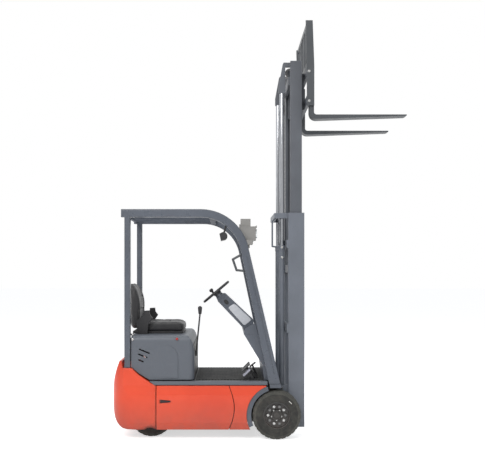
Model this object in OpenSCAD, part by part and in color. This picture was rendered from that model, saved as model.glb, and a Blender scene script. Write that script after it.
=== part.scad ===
// Small electric counterbalance forklift with a raised two-stage mast.
// Millimetres, +X forward to the fork tips, +Y to the driver's left, +Z up, ground at z = 0.
// Every module is drawn with x = 0 at the front axle, and placed() moves it to the part's origin.

/* [Wheels] */
// Distance from the front axle to the rear axle
wheelbase = 1080; // [1040:1:1110]
// Radius of a front tyre
front_tyre_r = 208; // [200:1:215]
// Width of a front tyre
front_tyre_w = 150; // [130:1:160]
// Radius of the front rim's flange
front_rim_r = 116; // [105:1:122]
// Width over the two front tyres
front_track_w = 990; // [980:1:1000]
// Radius of a rear tyre
rear_tyre_r = 190; // [180:1:195]
// Width of a rear tyre
rear_tyre_w = 110; // [95:1:115]
// Radius of the rear rim's flange
rear_rim_r = 106; // [100:1:110]
// Width over the two rear tyres
rear_track_w = 734; // [724:1:740]
// Number of wheel studs on a front wheel
front_studs = 10; // [5:1:10]
// Radius of the wheel studs' circle on a front wheel
front_stud_circle = 75; // [70:1:80]

/* [Axles] */
// Radius of the drive axle's tube
axle_tube_r = 60; // [54:1:62]
// Radius of the drive axle's gear housing
gear_case_r = 105; // [95:1:110]
// Half the distance between the two kingpins
kingpin_y = 225; // [222:1:230]
// Radius of a kingpin
kingpin_r = 14; // [12:1:16]
// Width of the steer axle's beam along the truck
steer_beam_w = 60; // [50:1:60]
// Height of the steer axle's beam
steer_beam_h = 70; // [60:1:80]

/* [Body] */
// Height of the body's lower edge over the ground
body_z0 = 83; // [75:1:90]
// Height of the top edge of the painted side panels
panel_top_z = 459; // [445:1:460]
// Half the body's width between its two crease lines
body_half_w = 485; // [480:1:490]
// Height of the lower crease line
crease_low_z = 147; // [135:1:160]
// Height of the upper crease line
crease_high_z = 381; // [365:1:395]
// How far the side tucks in below the lower crease
tuck_in = 20; // [10:1:24]
// How far the side leans in above the upper crease
lean_in = 15; // [8:1:20]
// Thickness of a side panel
panel_t = 19; // [14:1:19]
// Gap between neighbouring body panels
seam_gap = 6; // [5:0.5:8]
// Radius of the front wheel arch
arch_r = 258; // [250:1:265]
// Distance of the rear panel seam behind the front axle
rear_seam = 1030; // [1026:1:1034]
// Distance of the front panel seam behind the front axle
front_seam = 408; // [404:1:416]
// How far the front seam bulges forward at mid height
seam_bulge = 46; // [30:1:50]
// Angle of the wheel arch liner
liner_angle = 94; // [80:1:98]
// Thickness of the wheel arch liner
liner_t = 6; // [4:1:8]

/* [Counterweight] */
// Rear-most reach behind the front axle
rear_reach = 1415; // [1400:1:1430]
// Height of the rear-most line
rear_bulge_z = 360; // [340:1:380]
// Height of the counterweight's rear edge
weight_top_z = 670; // [655:1:690]
// Radius of the counterweight's corners in plan
weight_corner_r = 170; // [150:1:190]
// Radius of the bore for the towing pin
tow_pin_r = 14; // [10:1:16]
// Height of the towing pocket's floor
tow_pocket_z = 250; // [240:1:270]

/* [Floor] */
// Height of the floor plate's top
floor_z = 497; // [490:1:500]
// Thickness of the floor plate
floor_t = 20; // [14:1:24]
// Distance of the floor plate's edge inside the body's side
floor_inset = 60; // [55:1:66]
// Height of the mat over the floor plate
mat_h = 7; // [5:1:8]
// Number of ribs across the mat
mat_ribs = 22; // [12:1:30]

/* [Hood] */
// Distance of the hood's front behind the front axle
hood_front = 705; // [700:1:712]
// Distance of the hood's rear wall behind the front axle
hood_rear = 1246; // [1240:1:1247]
// Height of the hood's top
hood_top_z = 884; // [872:1:888]
// Distance of the hood's side inside the body's side
hood_inset = 35; // [32:1:40]
// Wall thickness of the hood
hood_t = 8; // [5:1:10]
// Length of the hood's rounded nose along the truck
hood_nose_l = 70; // [55:1:80]
// Height of the hood's rounded nose
hood_nose_h = 190; // [150:1:200]
// Radius of the hood's upper side edges
hood_side_r = 45; // [30:1:60]
// Radius of the hood's front corners in plan
hood_corner_r = 55; // [40:1:65]
// Lowest height of the lip over the kick panel
hood_lip_z = 804; // [792:1:804]
// Width of a louvre slit
louvre_w = 11; // [8:1:13]

/* [Seat] */
// Half width of the seat
seat_half_w = 240; // [220:1:250]
// Thickness of the seat's plinth
seat_plinth_h = 22; // [16:1:28]
// Height of the cushion's top at its rear
cushion_top_z = 990; // [986:1:998]
// Length of the cushion
cushion_l = 395; // [380:1:400]
// Height of the backrest's top
backrest_top_z = 1342; // [1320:1:1360]
// Thickness of the backrest
backrest_t = 92; // [80:1:96]

/* [Guard] */
// Height of the overhead guard's top
guard_top_z = 1969; // [1950:1:1990]
// Distance of the overhead guard's side inside the body's side
guard_inset = 25; // [23:1:30]
// Width of a guard rail across the truck
guard_rail_w = 50; // [44:1:54]
// Height of the guard's side rail
guard_rail_h = 68; // [60:1:76]
// Outer radius of the bend between rail and front leg
guard_bend_r = 418; // [400:1:430]
// Distance of the bend's centre behind the front axle
guard_bend_x = 650; // [644:1:656]
// Lean of the front leg's front edge from the vertical
leg_lean = 13.2; // [12.8:0.1:13.6]
// Width of the front leg at its foot
leg_foot_w = 97; // [90:1:104]
// Distance of the rear pillar's front face behind the front axle
pillar_front = 1254; // [1252:1:1258]
// Depth of a rear pillar along the truck
pillar_d = 49; // [44:1:52]
// Distance of the roof's rear end behind the front axle
guard_rear = 1332; // [1320:1:1345]
// Number of slats in the roof
roof_slats = 7; // [5:1:9]

/* [Controls] */
// Radius of the steering wheel's rim at its middle
wheel_ring_r = 140; // [130:1:150]
// Radius of the steering wheel's grip
wheel_grip_r = 11; // [9:1:13]
// Tilt of the steering wheel's plane from the horizontal
wheel_tilt = 40; // [36:1:44]
// Height of the steering wheel's centre
wheel_centre_z = 1250; // [1235:1:1265]
// Distance of the steering wheel's centre behind the front axle
wheel_centre_back = 523; // [515:1:530]
// Width of the steering column across the truck
column_w = 126; // [110:1:140]
// Height of the control lever's top
lever_top_z = 1130; // [1115:1:1145]
// Distance of the control lever from the truck's centre line
lever_y = 237; // [225:1:250]

/* [Mast] */
// Distance of the outer rails' rear face ahead of the front axle
rail_x = 112; // [108:1:114]
// Depth of an outer rail along the truck
rail_d = 140; // [136:1:142]
// Gap between a front tyre and the outer rail beside it
tyre_rail_gap = 25; // [23:1:27]
// Width of a rail's flange across the truck
flange_w = 58; // [54:1:60]
// Thickness of a rail's web
web_t = 12; // [10:1:12]
// Thickness of a rail's flange
flange_t = 14; // [12:1:14]
// Running gap between the nested rails
rail_gap = 6; // [5:0.5:7]
// Height of the outer mast's lower end
mast_z0 = 76; // [70:1:85]
// Height of the outer mast's top
mast_top_z = 1950; // [1930:1:1960]
// Height of the inner mast's top as raised
inner_top_z = 3284; // [3270:1:3300]
// Length of the inner rails
inner_len = 1868; // [1860:1:1880]
// Radius of a lift cylinder's barrel
lift_barrel_r = 31; // [30:1:33]
// Radius of a lift cylinder's rod
lift_rod_r = 22.5; // [20:0.5:24]
// Distance of the lift cylinders ahead of the front axle
lift_x = 63; // [61:1:64]
// Distance of a lift cylinder's axis inside the outer rails' flanges
lift_inset = 34; // [33:1:36]
// Height of a lift cylinder's foot
lift_z0 = 284; // [280:1:288]
// Height of a lift cylinder's gland
lift_gland_z = 1668; // [1660:1:1669]
// Height of the rods' heads as raised
rod_head_z = 3011; // [3005:1:3020]
// Height of the bar that the lift chains are fixed to
chain_bar_z = 1712; // [1700:1:1720]
// Radius of a chain sheave at the chain's middle
sheave_r = 50; // [46:1:52]
// Distance of a lift chain inside the lift cylinder's axis
chain_inset = 98; // [90:1:106]
// Width of a lift chain
chain_w = 24; // [18:1:26]
// Thickness of a lift chain
chain_t = 20; // [16:1:22]

/* [Carriage] */
// Distance of the fork shank's front face ahead of the front axle
fork_face = 326; // [324:1:332]
// Height of the blades' top as raised
fork_top_z = 2790; // [2785:1:2795]
// Length of a fork blade
fork_l = 802; // [780:1:850]
// Thickness of a fork
fork_t = 38; // [34:1:40]
// Width of a fork
fork_w = 100; // [90:1:105]
// Distance of a fork's middle from the centre line
fork_y = 360; // [340:1:364]
// Distance between the two fork bars' far faces
hook_span = 331; // [328:1:334]
// Height of a fork bar
fork_bar_h = 76; // [70:1:80]
// Thickness of a fork bar
fork_bar_t = 26; // [22:1:28]
// Half width of the carriage and its backrest
carriage_half_w = 417; // [412:1:422]
// Height of the load backrest's top as raised
load_rest_top_z = 3595; // [3560:1:3620]
// Number of upright bars in the load backrest
load_rest_bars = 5; // [3:2:7]
// Radius of a carriage roller
roller_r = 28; // [26:0.5:28]

/* [Tilt cylinders] */
// Height of the tilt cylinder's front pin
tilt_pin_z = 412; // [405:1:418]
// Distance of the front pin ahead of the front axle
tilt_pin_x = 58; // [54:1:62]
// Distance of the rear pin behind the front axle
tilt_anchor = 376; // [370:1:380]
// Height of the rear pin
tilt_anchor_z = 400; // [395:1:405]
// Distance of a tilt cylinder's axis inside the outer rails' outer faces
tilt_inset = 36; // [35:1:37]
// Radius of a tilt cylinder's barrel
tilt_barrel_r = 23; // [20:1:24]
// Radius of a tilt cylinder's rod
tilt_rod_r = 12; // [10:1:13]
// Radius of the tilt cylinders' pins
tilt_pin_r = 10; // [8:1:11]

/* [Hidden] */
$fn = 48;

// Half widths of floor, hood and guard
floor_half_w = body_half_w - floor_inset;
hood_half_w = body_half_w - hood_inset;
guard_half_w = body_half_w - guard_inset;
guard_y = guard_half_w - guard_rail_w;

// Hood hinge
hinge_back = 1240;
hinge_r = 9;
hinge_pin_r = 5;
hinge_l = 24;
hinge_y = [guard_y - 4 - hinge_l, guard_y - 4];

// Running gaps and seats
pin_gap = 0.3;
rod_gap = 0.6;
linkage_gap = 0.7;
end_gap = 4;
roller_gap = 0.5;

// Reach of the whole part and the shift to the middle of its footprint
fork_tip_x = fork_face + fork_l;
origin_shift = (rear_reach - fork_tip_x) / 2;

// Wheel places
front_tyre_y = front_track_w / 2;
rear_tyre_y = rear_track_w / 2;
rear_x = -wheelbase;
front_disc_in = 46;
rear_disc_in = 30;
disc_t = 12;

hinge_z = hood_top_z + hinge_r;

// Front end of the seat cushion
cushion_x1 = -hood_front - 82;

// Body places
seam_r = rear_seam + seam_gap / 2;
arch_clear = 8;
well_clear = 8;
well_r = norm([rear_tyre_r, rear_tyre_y - kingpin_y]) + well_clear;
well_top_z = 2 * rear_tyre_r + 2 * well_clear;
frame_plate_t = 18;
frame_plate_in = 33;
frame_plate_y = front_tyre_y - front_tyre_w - frame_plate_in;
bulkhead_t = 12;
belly_z = 98;
belly_t = 12;
battery_gap = 6;
rear_bulkhead_x = rear_x + well_r + seam_gap;
front_bulkhead_x = -front_seam - 24;
front_plate_x = -92;
pillar_seat_z = 610;

// Steering wheel hub below the rim's plane
hub_depth = 25;

// Guard places
bend_z = guard_top_z - guard_bend_r;
leg_top = [-guard_bend_x + guard_bend_r * cos(leg_lean), bend_z + guard_bend_r * sin(leg_lean)];
leg_foot_z = 470;
leg_foot_x = leg_top[0] + (leg_top[1] - leg_foot_z) * tan(leg_lean);
inner_bend_r = guard_bend_r - guard_rail_h;

// Mast places
rail_half_w = front_tyre_y - front_tyre_w - tyre_rail_gap;
lift_y = rail_half_w - flange_w - lift_inset;
tilt_y = rail_half_w - tilt_inset;
chain_y = lift_y - chain_inset;
rail_front_x = rail_x + rail_d;
inner_x = rail_x + flange_t + rail_gap;
inner_d = rail_d - 2 * (flange_t + rail_gap);
inner_half_w = rail_half_w - web_t - rail_gap;
inner_flange_t = (inner_d - 2 * (roller_r + roller_gap)) / 2;
inner_z0 = inner_top_z - inner_len;
lift_travel = inner_z0 - mast_z0 - end_gap;
barrel_floor = 8;
gland_step = 3;
rail_mid_x = rail_x + rail_d / 2;
sheave_x = inner_x + 6;
sheave_z = inner_top_z - sheave_r - 12;
cross_t = 30;
top_ear_h = 46;
inner_cross_x = rail_x + rail_gap;
fork_bar_x = fork_face - fork_t - fork_bar_t;
upper_bar_z = fork_top_z + 416;
lower_bar_z = upper_bar_z - hook_span;
hook_t = 10;
sheave_fork = chain_w / 2 + 4;
chain_anchor_z = lower_bar_z + fork_bar_h + 40;
tilt_vector = [tilt_pin_x + tilt_anchor, tilt_pin_z - tilt_anchor_z];
tilt_len = norm(tilt_vector);
tilt_slope = atan2(tilt_vector[1], tilt_vector[0]);
tilt_barrel_l = tilt_len - 150;
tilt_eye_w = 16;
tilt_lug_t = 8;

// Colours
red = "#d8412a";
steel_grey = "#555b66";
hood_grey = "#6a6c70";
dark_grey = "#3a3c40";
black = "#242528";
chrome = "#c9ccd0";

// Helpers
module placed() translate([origin_shift, 0, 0]) children();

// A side-view outline (x, z) drawn from y0 to y1
module from_side(y0, y1) translate([0, y1, 0]) rotate([90, 0, 0]) linear_extrude(y1 - y0) children();

// A front-view outline (y, z) drawn from x0 to x1
module from_front(x0, x1) translate([x0, 0, 0]) rotate([90, 0, 90]) linear_extrude(x1 - x0) children();

module both_sides() {
    children();
    mirror([0, 1, 0]) children();
}

module on_side(s) mirror([0, s > 0 ? 0 : 1, 0]) children();

module block(x0, x1, y0, y1, z0, z1) translate([x0, y0, z0]) cube([x1 - x0, y1 - y0, z1 - z0]);

// A round bar from y0 to y1
module bar_y(x, z, r, y0, y1) translate([x, y0, z]) rotate([-90, 0, 0]) cylinder(r = r, h = y1 - y0);

// A round bar between two points
module rod(a, b, r) {
    v = b - a;
    translate(a)
        rotate([0, acos(v[2] / norm(v)), atan2(v[1], v[0])])
            cylinder(r = r, h = norm(v));
}

function arc(cx, cz, r, a0, a1, n) =
    [for (i = [0:n]) [cx + r * cos(a0 + (a1 - a0) * i / n), cz + r * sin(a0 + (a1 - a0) * i / n)]];

// Half width of the body's side at height z
function side_y(z) =
    z < crease_low_z ? body_half_w - tuck_in * (crease_low_z - z) / (crease_low_z - body_z0)
    : z < crease_high_z ? body_half_w
    : body_half_w - lean_in * min(1, (z - crease_high_z) / (panel_top_z - crease_high_z));

// The side wall's section (y, z), from its outer face inwards by t
module side_section(t, z1) {
    levels = [body_z0, crease_low_z, crease_high_z, z1];
    polygon(concat(
        [for (z = levels) [side_y(z), z]],
        [for (i = [3:-1:0]) [side_y(levels[i]) - t, levels[i]]]
    ));
}

// Points of the front seam from bottom to top, moved back by d
function seam_line(d) =
    [for (i = [0:12]) let (u = i / 12)
        [-front_seam + seam_bulge * sin(180 * u) - d, body_z0 + (panel_top_z - body_z0) * u]];

module side_cover(s) {
    finger_z = 326;
    finger_h = 34;
    finger_x = -rear_seam + 28;
    finger_l = 100;
    finger_d = 12;
    color(red) on_side(s) difference() {
        intersection() {
            from_front(-rear_seam, -front_seam + seam_bulge) side_section(panel_t, panel_top_z);
            from_side(0, body_half_w + 1)
                polygon(concat(
                    [[-rear_seam + seam_gap / 2, panel_top_z], [-rear_seam + seam_gap / 2, body_z0]],
                    seam_line(seam_gap / 2)
                ));
        }
        from_side(body_half_w - finger_d, body_half_w + 1)
            polygon([
                [finger_x, finger_z - finger_h / 2], [finger_x + finger_l, finger_z - finger_h / 4],
                [finger_x + finger_l, finger_z + finger_h / 4], [finger_x, finger_z + finger_h / 2],
            ]);
    }
}

module fender(s) {
    fender_front = 90;
    color(red) on_side(s) difference() {
        intersection() {
            from_front(-front_seam, -fender_front) side_section(panel_t, panel_top_z);
            from_side(0, body_half_w + 1)
                polygon(concat(
                    seam_line(-seam_gap / 2),
                    [[-fender_front, panel_top_z], [-fender_front, body_z0]]
                ));
        }
        bar_y(0, front_tyre_r, arch_r, 0, body_half_w + 1, $fn = 96);
    }
}

// Rear profile of the counterweight, from its lower front to its upper front
function weight_profile() =
    let (
        fullness = 0.7,
        belly_x = -rear_reach + 205,
        top_back = rear_reach - 70,
        slope_x = [pillar_front + pillar_d + 15, pillar_front - 9, rear_seam + 151, rear_seam + 66, rear_seam + 10]
    )
    concat(
        [[-rear_seam - seam_gap / 2, body_z0]],
        [for (i = [0:8]) let (a = 90 * i / 8)
            [belly_x - (rear_reach + belly_x) * pow(sin(a), fullness),
                rear_bulge_z - (rear_bulge_z - body_z0) * pow(cos(a), fullness)]],
        [for (i = [1:6]) let (u = i / 6)
            [-rear_reach + (rear_reach - top_back) * u * u, rear_bulge_z + (weight_top_z - rear_bulge_z) * u]],
        [
            [-top_back + 22, weight_top_z], [-slope_x[0], pillar_seat_z], [-slope_x[1], pillar_seat_z],
            [-slope_x[2], 551], [-slope_x[3], 494], [-slope_x[4], panel_top_z + 2],
            [-rear_seam - seam_gap / 2, panel_top_z],
        ]
    );

module counterweight() {
    tow_half_w = 45;
    tow_pocket_h = 60;
    tow_lip_h = 70;
    tow_back = 95;
    tow_in = 60;
    tow_x = -rear_reach + tow_in;
    bore_below = 40;
    spot_face_r = tow_pin_r + 10;
    color(red) difference() {
        intersection() {
            from_side(-body_half_w, body_half_w) polygon(weight_profile());
            from_front(-rear_reach - 1, 0)
                polygon(concat(
                    [for (z = [body_z0, crease_low_z, crease_high_z, panel_top_z, weight_top_z]) [side_y(z), z]],
                    [for (z = [weight_top_z, panel_top_z, crease_high_z, crease_low_z, body_z0]) [-side_y(z), z]]
                ));
            translate([0, 0, body_z0 - 1]) linear_extrude(weight_top_z) union() {
                translate([-rear_reach + weight_corner_r, -body_half_w - 1])
                    square([rear_reach, 2 * body_half_w + 2]);
                translate([-rear_reach, -body_half_w + weight_corner_r])
                    square([rear_reach, 2 * (body_half_w - weight_corner_r)]);
                for (s = [-1, 1])
                    translate([-rear_reach + weight_corner_r, s * (body_half_w - weight_corner_r)])
                        circle(r = weight_corner_r, $fn = 64);
            }
        }
        for (s = [-1, 1])
            translate([rear_x, s * kingpin_y, 0]) cylinder(r = well_r, h = well_top_z, $fn = 96);
        block(rear_x, 0, -kingpin_y - 1, kingpin_y + 1, 0, well_top_z);
        block(rear_x, 0, -side_y(body_z0) + panel_t, side_y(body_z0) - panel_t, 0, well_top_z);
        for (z = [tow_pocket_z, tow_pocket_z + tow_pocket_h + tow_lip_h])
            block(-rear_reach - 1, -rear_reach + tow_back, -tow_half_w, tow_half_w, z, z + tow_pocket_h);
        translate([tow_x, 0, tow_pocket_z - bore_below - 1])
            cylinder(r = tow_pin_r, h = bore_below + tow_pocket_h + tow_lip_h + 2);
        translate([tow_x, 0, 0]) cylinder(r = spot_face_r, h = tow_pocket_z - bore_below);
    }
}

module chassis() {
    frame_z0 = 125;
    frame_x0 = front_bulkhead_x;
    frame_x1 = 40;
    deck_t = 30;
    deck_z = panel_top_z;
    side_in = side_y(body_z0) - panel_t - seam_gap;
    pedestal_x0 = -60;
    panel_in_y = body_half_w - panel_t;
    post_z = [crease_low_z + 20, crease_high_z - 20];
    color(dark_grey) difference() {
        union() {
            block(rear_bulkhead_x, front_bulkhead_x + bulkhead_t, -side_in, side_in, belly_z, belly_z + belly_t);
            for (x = [rear_bulkhead_x, front_bulkhead_x])
                block(x, x + bulkhead_t, -floor_half_w, floor_half_w, belly_z, floor_z - floor_t + 1);
            block(rear_bulkhead_x, front_plate_x, -floor_half_w, floor_half_w, floor_z - floor_t, floor_z);
            block(-seam_r, rear_bulkhead_x + bulkhead_t, -floor_half_w, floor_half_w,
                deck_z - deck_t, deck_z);
            block(front_plate_x, front_plate_x + bulkhead_t, -frame_plate_y - 1, frame_plate_y + 1,
                tilt_pin_z + 44, floor_z);
            block(front_plate_x, front_plate_x + bulkhead_t, -tilt_y + 40, tilt_y - 40,
                front_tyre_r + gear_case_r + 20, floor_z);
            for (x = [rear_bulkhead_x, front_bulkhead_x])
                block(x, x + bulkhead_t, -panel_in_y, panel_in_y, post_z[0], post_z[1]);
            both_sides() {
                block(frame_x0, frame_x1, frame_plate_y, frame_plate_y + frame_plate_t, frame_z0, floor_z);
                block(-arch_r - 60, -arch_r - 60 + bulkhead_t, frame_plate_y, panel_in_y, post_z[0], post_z[1]);
                block(pedestal_x0, frame_x1, frame_plate_y, guard_half_w,
                    2 * front_tyre_r + arch_clear + 12, leg_foot_z);
                block(front_bulkhead_x + bulkhead_t - 1, -tilt_anchor + 18, tilt_y - 26, tilt_y - 14,
                    tilt_anchor_z - 24, floor_z - floor_t + 1);
            }
        }
        bar_y(0, front_tyre_r, axle_tube_r + pin_gap, -front_tyre_y, front_tyre_y, $fn = 64);
        bar_y(-tilt_anchor, tilt_anchor_z, tilt_pin_r + pin_gap, -tilt_y, tilt_y);
    }
}

module side_trim() {
    leg_clear = 14;
    trim_x1 = leg_foot_x - leg_foot_w - leg_clear;
    trim_z0 = panel_top_z + 6;
    trim_y = side_y(panel_top_z) + 2;
    color(hood_grey) both_sides() from_side(floor_half_w, trim_y)
        polygon([[-rear_seam - 16, trim_z0], [trim_x1, trim_z0], [trim_x1, floor_z], [-rear_seam - 58, floor_z]]);
}

module floor_mat() {
    mat_x0 = -hood_front + 12;
    mat_x1 = -112;
    mat_half_w = guard_y - 10;
    base_h = 4;
    rib_w = 12;
    pitch = (mat_x1 - mat_x0 - rib_w) / (mat_ribs - 1);
    color(black) {
        block(mat_x0, mat_x1, -mat_half_w, mat_half_w, floor_z, floor_z + base_h);
        for (i = [0:mat_ribs - 1])
            block(mat_x0 + i * pitch, mat_x0 + i * pitch + rib_w, -mat_half_w, mat_half_w,
                floor_z + base_h - 1, floor_z + mat_h);
    }
}

module arch_liners() {
    liner_w = front_tyre_w - 30;
    liner_start = 107;
    color(dark_grey) both_sides()
        translate([0, frame_plate_y + frame_plate_t, front_tyre_r]) rotate([-90, 0, 0])
            rotate([0, 0, -liner_start - liner_angle])
                rotate_extrude(angle = liner_angle, $fn = 96)
                    translate([arch_r - 8 - liner_t, 0]) square([liner_t, liner_w]);
}

module drive_axle() {
    flange_r = 88;
    flange_w2 = 14;
    stub_r = 44;
    stub_end = front_tyre_y - front_disc_in - disc_t - pin_gap;
    motor_r = 84;
    motor_back = 300;
    color(dark_grey) union() {
        bar_y(0, front_tyre_r, axle_tube_r, -frame_plate_y - frame_plate_t - 1, frame_plate_y + frame_plate_t + 1);
        bar_y(0, front_tyre_r, gear_case_r, -75, 75);
        translate([-motor_back, 0, front_tyre_r]) rotate([0, 90, 0]) cylinder(r = motor_r, h = motor_back);
        both_sides() {
            bar_y(0, front_tyre_r, flange_r, frame_plate_y + frame_plate_t,
                frame_plate_y + frame_plate_t + flange_w2);
            bar_y(0, front_tyre_r, stub_r, frame_plate_y + frame_plate_t, stub_end);
        }
    }
}

module steer_axle() {
    eye_r = 30;
    mount_half_w = 60;
    color(dark_grey) difference() {
        union() {
            block(rear_x - steer_beam_w / 2, rear_x + steer_beam_w / 2, -kingpin_y, kingpin_y,
                rear_tyre_r - steer_beam_h / 2, rear_tyre_r + steer_beam_h / 2);
            block(rear_x - steer_beam_w / 2, rear_x + steer_beam_w / 2, -mount_half_w, mount_half_w,
                rear_tyre_r, well_top_z);
            both_sides() translate([rear_x, kingpin_y, rear_tyre_r - steer_beam_h / 2])
                cylinder(r = eye_r, h = steer_beam_h);
        }
        both_sides() translate([rear_x, kingpin_y, 0]) cylinder(r = kingpin_r + pin_gap, h = 2 * rear_tyre_r);
    }
}

module battery() {
    battery_half_w = floor_half_w - 20;
    color("#4b5057")
        block(rear_bulkhead_x + bulkhead_t + battery_gap, front_bulkhead_x - battery_gap,
            -battery_half_w, battery_half_w, belly_z + belly_t, floor_z - floor_t - battery_gap);
}

// Points of the hood's nose (x, z) up to angle a1, drawn in by t
function nose_line(t, a1) =
    [for (i = [0:10]) let (a = a1 * i / 10)
        [-hood_front - hood_nose_l + (hood_nose_l - t) * cos(a), hood_top_z - hood_nose_h + (hood_nose_h - t) * sin(a)]];

// Side view of the hood, drawn in by t
module hood_outline(t) {
    foot_z = floor_z + 9;
    polygon(concat(
        [[-hood_rear + t, hood_top_z - t]],
        [[-hood_rear + t, pillar_seat_z + 8 - 2 * t]],
        [[-1181, 561 - 2 * t], [-1090, foot_z - 2 * t], [-hood_front - t, foot_z - 2 * t]],
        nose_line(t, 90)
    ));
}

// Front view of the hood, drawn in by t
module hood_section(t) {
    w = hood_half_w - t;
    r = hood_side_r - t;
    polygon(concat(
        [[w, floor_z - 3 * t]],
        arc(w - r, hood_top_z - t - r, r, 0, 90, 8),
        arc(-w + r, hood_top_z - t - r, r, 90, 180, 8),
        [[-w, floor_z - 3 * t]]
    ));
}

// Plan of the hood, drawn in by t
module hood_plan(t) {
    w = hood_half_w - t;
    r = hood_corner_r - t;
    x1 = -hood_front - t - r;
    polygon(concat(
        [[-hood_rear - 1, -w]],
        arc(x1, -w + r, r, -90, 0, 7),
        arc(x1, w - r, r, 0, 90, 7),
        [[-hood_rear - 1, w]]
    ));
}

module hood_form(t) intersection() {
    from_side(-hood_half_w, hood_half_w) hood_outline(t);
    from_front(-hood_rear - 1, -hood_front + 1) hood_section(t);
    linear_extrude(hood_top_z + 1) hood_plan(t);
}

module hood() {
    emboss_h = 5;
    emboss_x = [-1076, -845];
    emboss_z = [522, 800];
    emboss_r = 100;
    emboss_rise = 14;
    louvre_starts = [[-1178, 769], [-1185, 727], [-1183, 678]];
    louvre_lengths = [97, 84, 46];
    louvre_slope = -22;
    color(hood_grey) difference() {
        union() {
            hood_form(0);
            both_sides() {
                bar_y(-hinge_back, hinge_z, hinge_r, hinge_y[0], hinge_y[1]);
                block(-hinge_back - hinge_r + 2, -hinge_back + hinge_r, hinge_y[0], hinge_y[1], hood_top_z - 1, hinge_z);
            }
            both_sides() intersection() {
                from_side(hood_half_w - 1, hood_half_w + emboss_h)
                    polygon(concat(
                        [[emboss_x[0], emboss_z[0]], [emboss_x[1], emboss_z[0]]],
                        arc(emboss_x[1] - emboss_r, emboss_z[1] - emboss_r, emboss_r, 0, 90, 8),
                        [[emboss_x[0], emboss_z[1] + emboss_rise]]
                    ));
                linear_extrude(hood_top_z)
                    polygon([
                        [emboss_x[0], hood_half_w - 2], [emboss_x[1] + 1, hood_half_w - 2],
                        [emboss_x[1] + 1, hood_half_w + emboss_h], [emboss_x[0], hood_half_w + 0.5],
                    ]);
            }
        }
        hood_form(hood_t);
        bar_y(-hinge_back, hinge_z, hinge_pin_r + pin_gap, -hood_half_w, hood_half_w);
        block(-hood_front - hood_nose_l, -hood_front + 1, -hood_half_w + hood_corner_r, hood_half_w - hood_corner_r,
            0, hood_lip_z);
        for (i = [0:2])
            translate([louvre_starts[i][0], 0, louvre_starts[i][1]]) rotate([0, -louvre_slope, 0])
                from_side(-hood_half_w - 9, hood_half_w + 9)
                    translate([0, -louvre_w / 2]) square([louvre_lengths[i], louvre_w]);
    }
}

module kick_panel() {
    panel_half_w = hood_half_w - hood_corner_r - seam_gap;
    panel_d = 12;
    bracket_d = 70;
    top_angle = asin((hood_lip_z - seam_gap - hood_top_z + hood_nose_h) / hood_nose_h);
    color(black) {
        from_side(-panel_half_w, panel_half_w)
            polygon(concat(
                [[-hood_front - panel_d, floor_z], [-hood_front, floor_z]],
                nose_line(0, top_angle),
                [for (i = [10:-1:0]) nose_line(panel_d, top_angle)[i]]
            ));
        both_sides() block(-hood_front - panel_d - bracket_d, -hood_front - panel_d + 1,
            panel_half_w - 20, panel_half_w - 12, floor_z, hood_lip_z - 60);
    }
}

module seat_plinth() {
    plinth_x = [cushion_x1 - cushion_l - 80, cushion_x1 - 30];
    color(black) block(plinth_x[0], plinth_x[1], -seat_half_w + 30, seat_half_w - 30,
        hood_top_z, hood_top_z + seat_plinth_h);
}

module seat_cushion() {
    nose_r = 35;
    cushion_z0 = hood_top_z + seat_plinth_h;
    color(black) from_side(-seat_half_w, seat_half_w)
        polygon(concat(
            [[cushion_x1 - cushion_l, cushion_z0], [cushion_x1 - nose_r, cushion_z0]],
            arc(cushion_x1 - nose_r, cushion_z0 + nose_r, nose_r, -90, 80, 8),
            [[cushion_x1 - cushion_l, cushion_top_z]]
        ));
}

module seat_backrest() {
    lower_x = cushion_x1 - cushion_l - 12;
    lean = 95;
    top_t = 32;
    curve_z = 1110;
    curve_h = backrest_top_z - curve_z;
    z0 = hood_top_z + seat_plinth_h;
    color(black) from_side(-seat_half_w + 8, seat_half_w - 8)
        polygon(concat(
            [[lower_x - backrest_t, z0], [lower_x, z0]],
            [for (i = [0 : 8]) [lower_x - lean * (1 - cos(i * 90 / 8)), curve_z + curve_h * sin(i * 90 / 8)]],
            [[lower_x - lean - top_t / 2, backrest_top_z - 5], [lower_x - lean - top_t, backrest_top_z - 36]]
        ));
}

module seat_arms() {
    arm_y = seat_half_w + 2;
    arm_w = 30;
    arm_x = cushion_x1 - cushion_l - 35;
    arm_z = hood_top_z + 88;
    color(dark_grey) both_sides() {
        from_side(arm_y, arm_y + arm_w)
            polygon([
                [arm_x, hood_top_z], [arm_x + 90, hood_top_z], [arm_x + 100, arm_z], [arm_x + 136, arm_z + 52],
                [arm_x + 111, arm_z + 83], [arm_x + 106, arm_z + 120], [arm_x + 59, arm_z + 117],
                [arm_x + 53, arm_z + 79], [arm_x - 5, arm_z + 30],
            ]);
    }
}

module control_lever() {
    foot = [-hood_front + 7, -lever_y, 717];
    knob_h = 70;
    knob_r = 19;
    top = [-hood_front + 41, -lever_y, lever_top_z - knob_h];
    color(black) union() {
        rod(foot, top, 7);
        translate(top) cylinder(r1 = knob_r - 5, r2 = knob_r, h = knob_h - 14);
        translate(top + [0, 0, knob_h - 19]) sphere(r = knob_r);
        block(-hood_front, -hood_front + 16, -lever_y - 24, -lever_y + 24, 690, 736);
    }
}

module pedals() {
    pedal_y = [-150, -265];
    pedal_w = 78;
    color(dark_grey) for (y = pedal_y) {
        translate([0, y, 0]) {
            from_side(-pedal_w / 2, pedal_w / 2)
                polygon([[-294, 560], [-286, 554], [-222, 618], [-230, 624]]);
            from_side(-8, 8)
                polygon([[-262, 583], [-248, 583], [-150, floor_z + mat_h], [-176, floor_z + mat_h]]);
        }
    }
}

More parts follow.
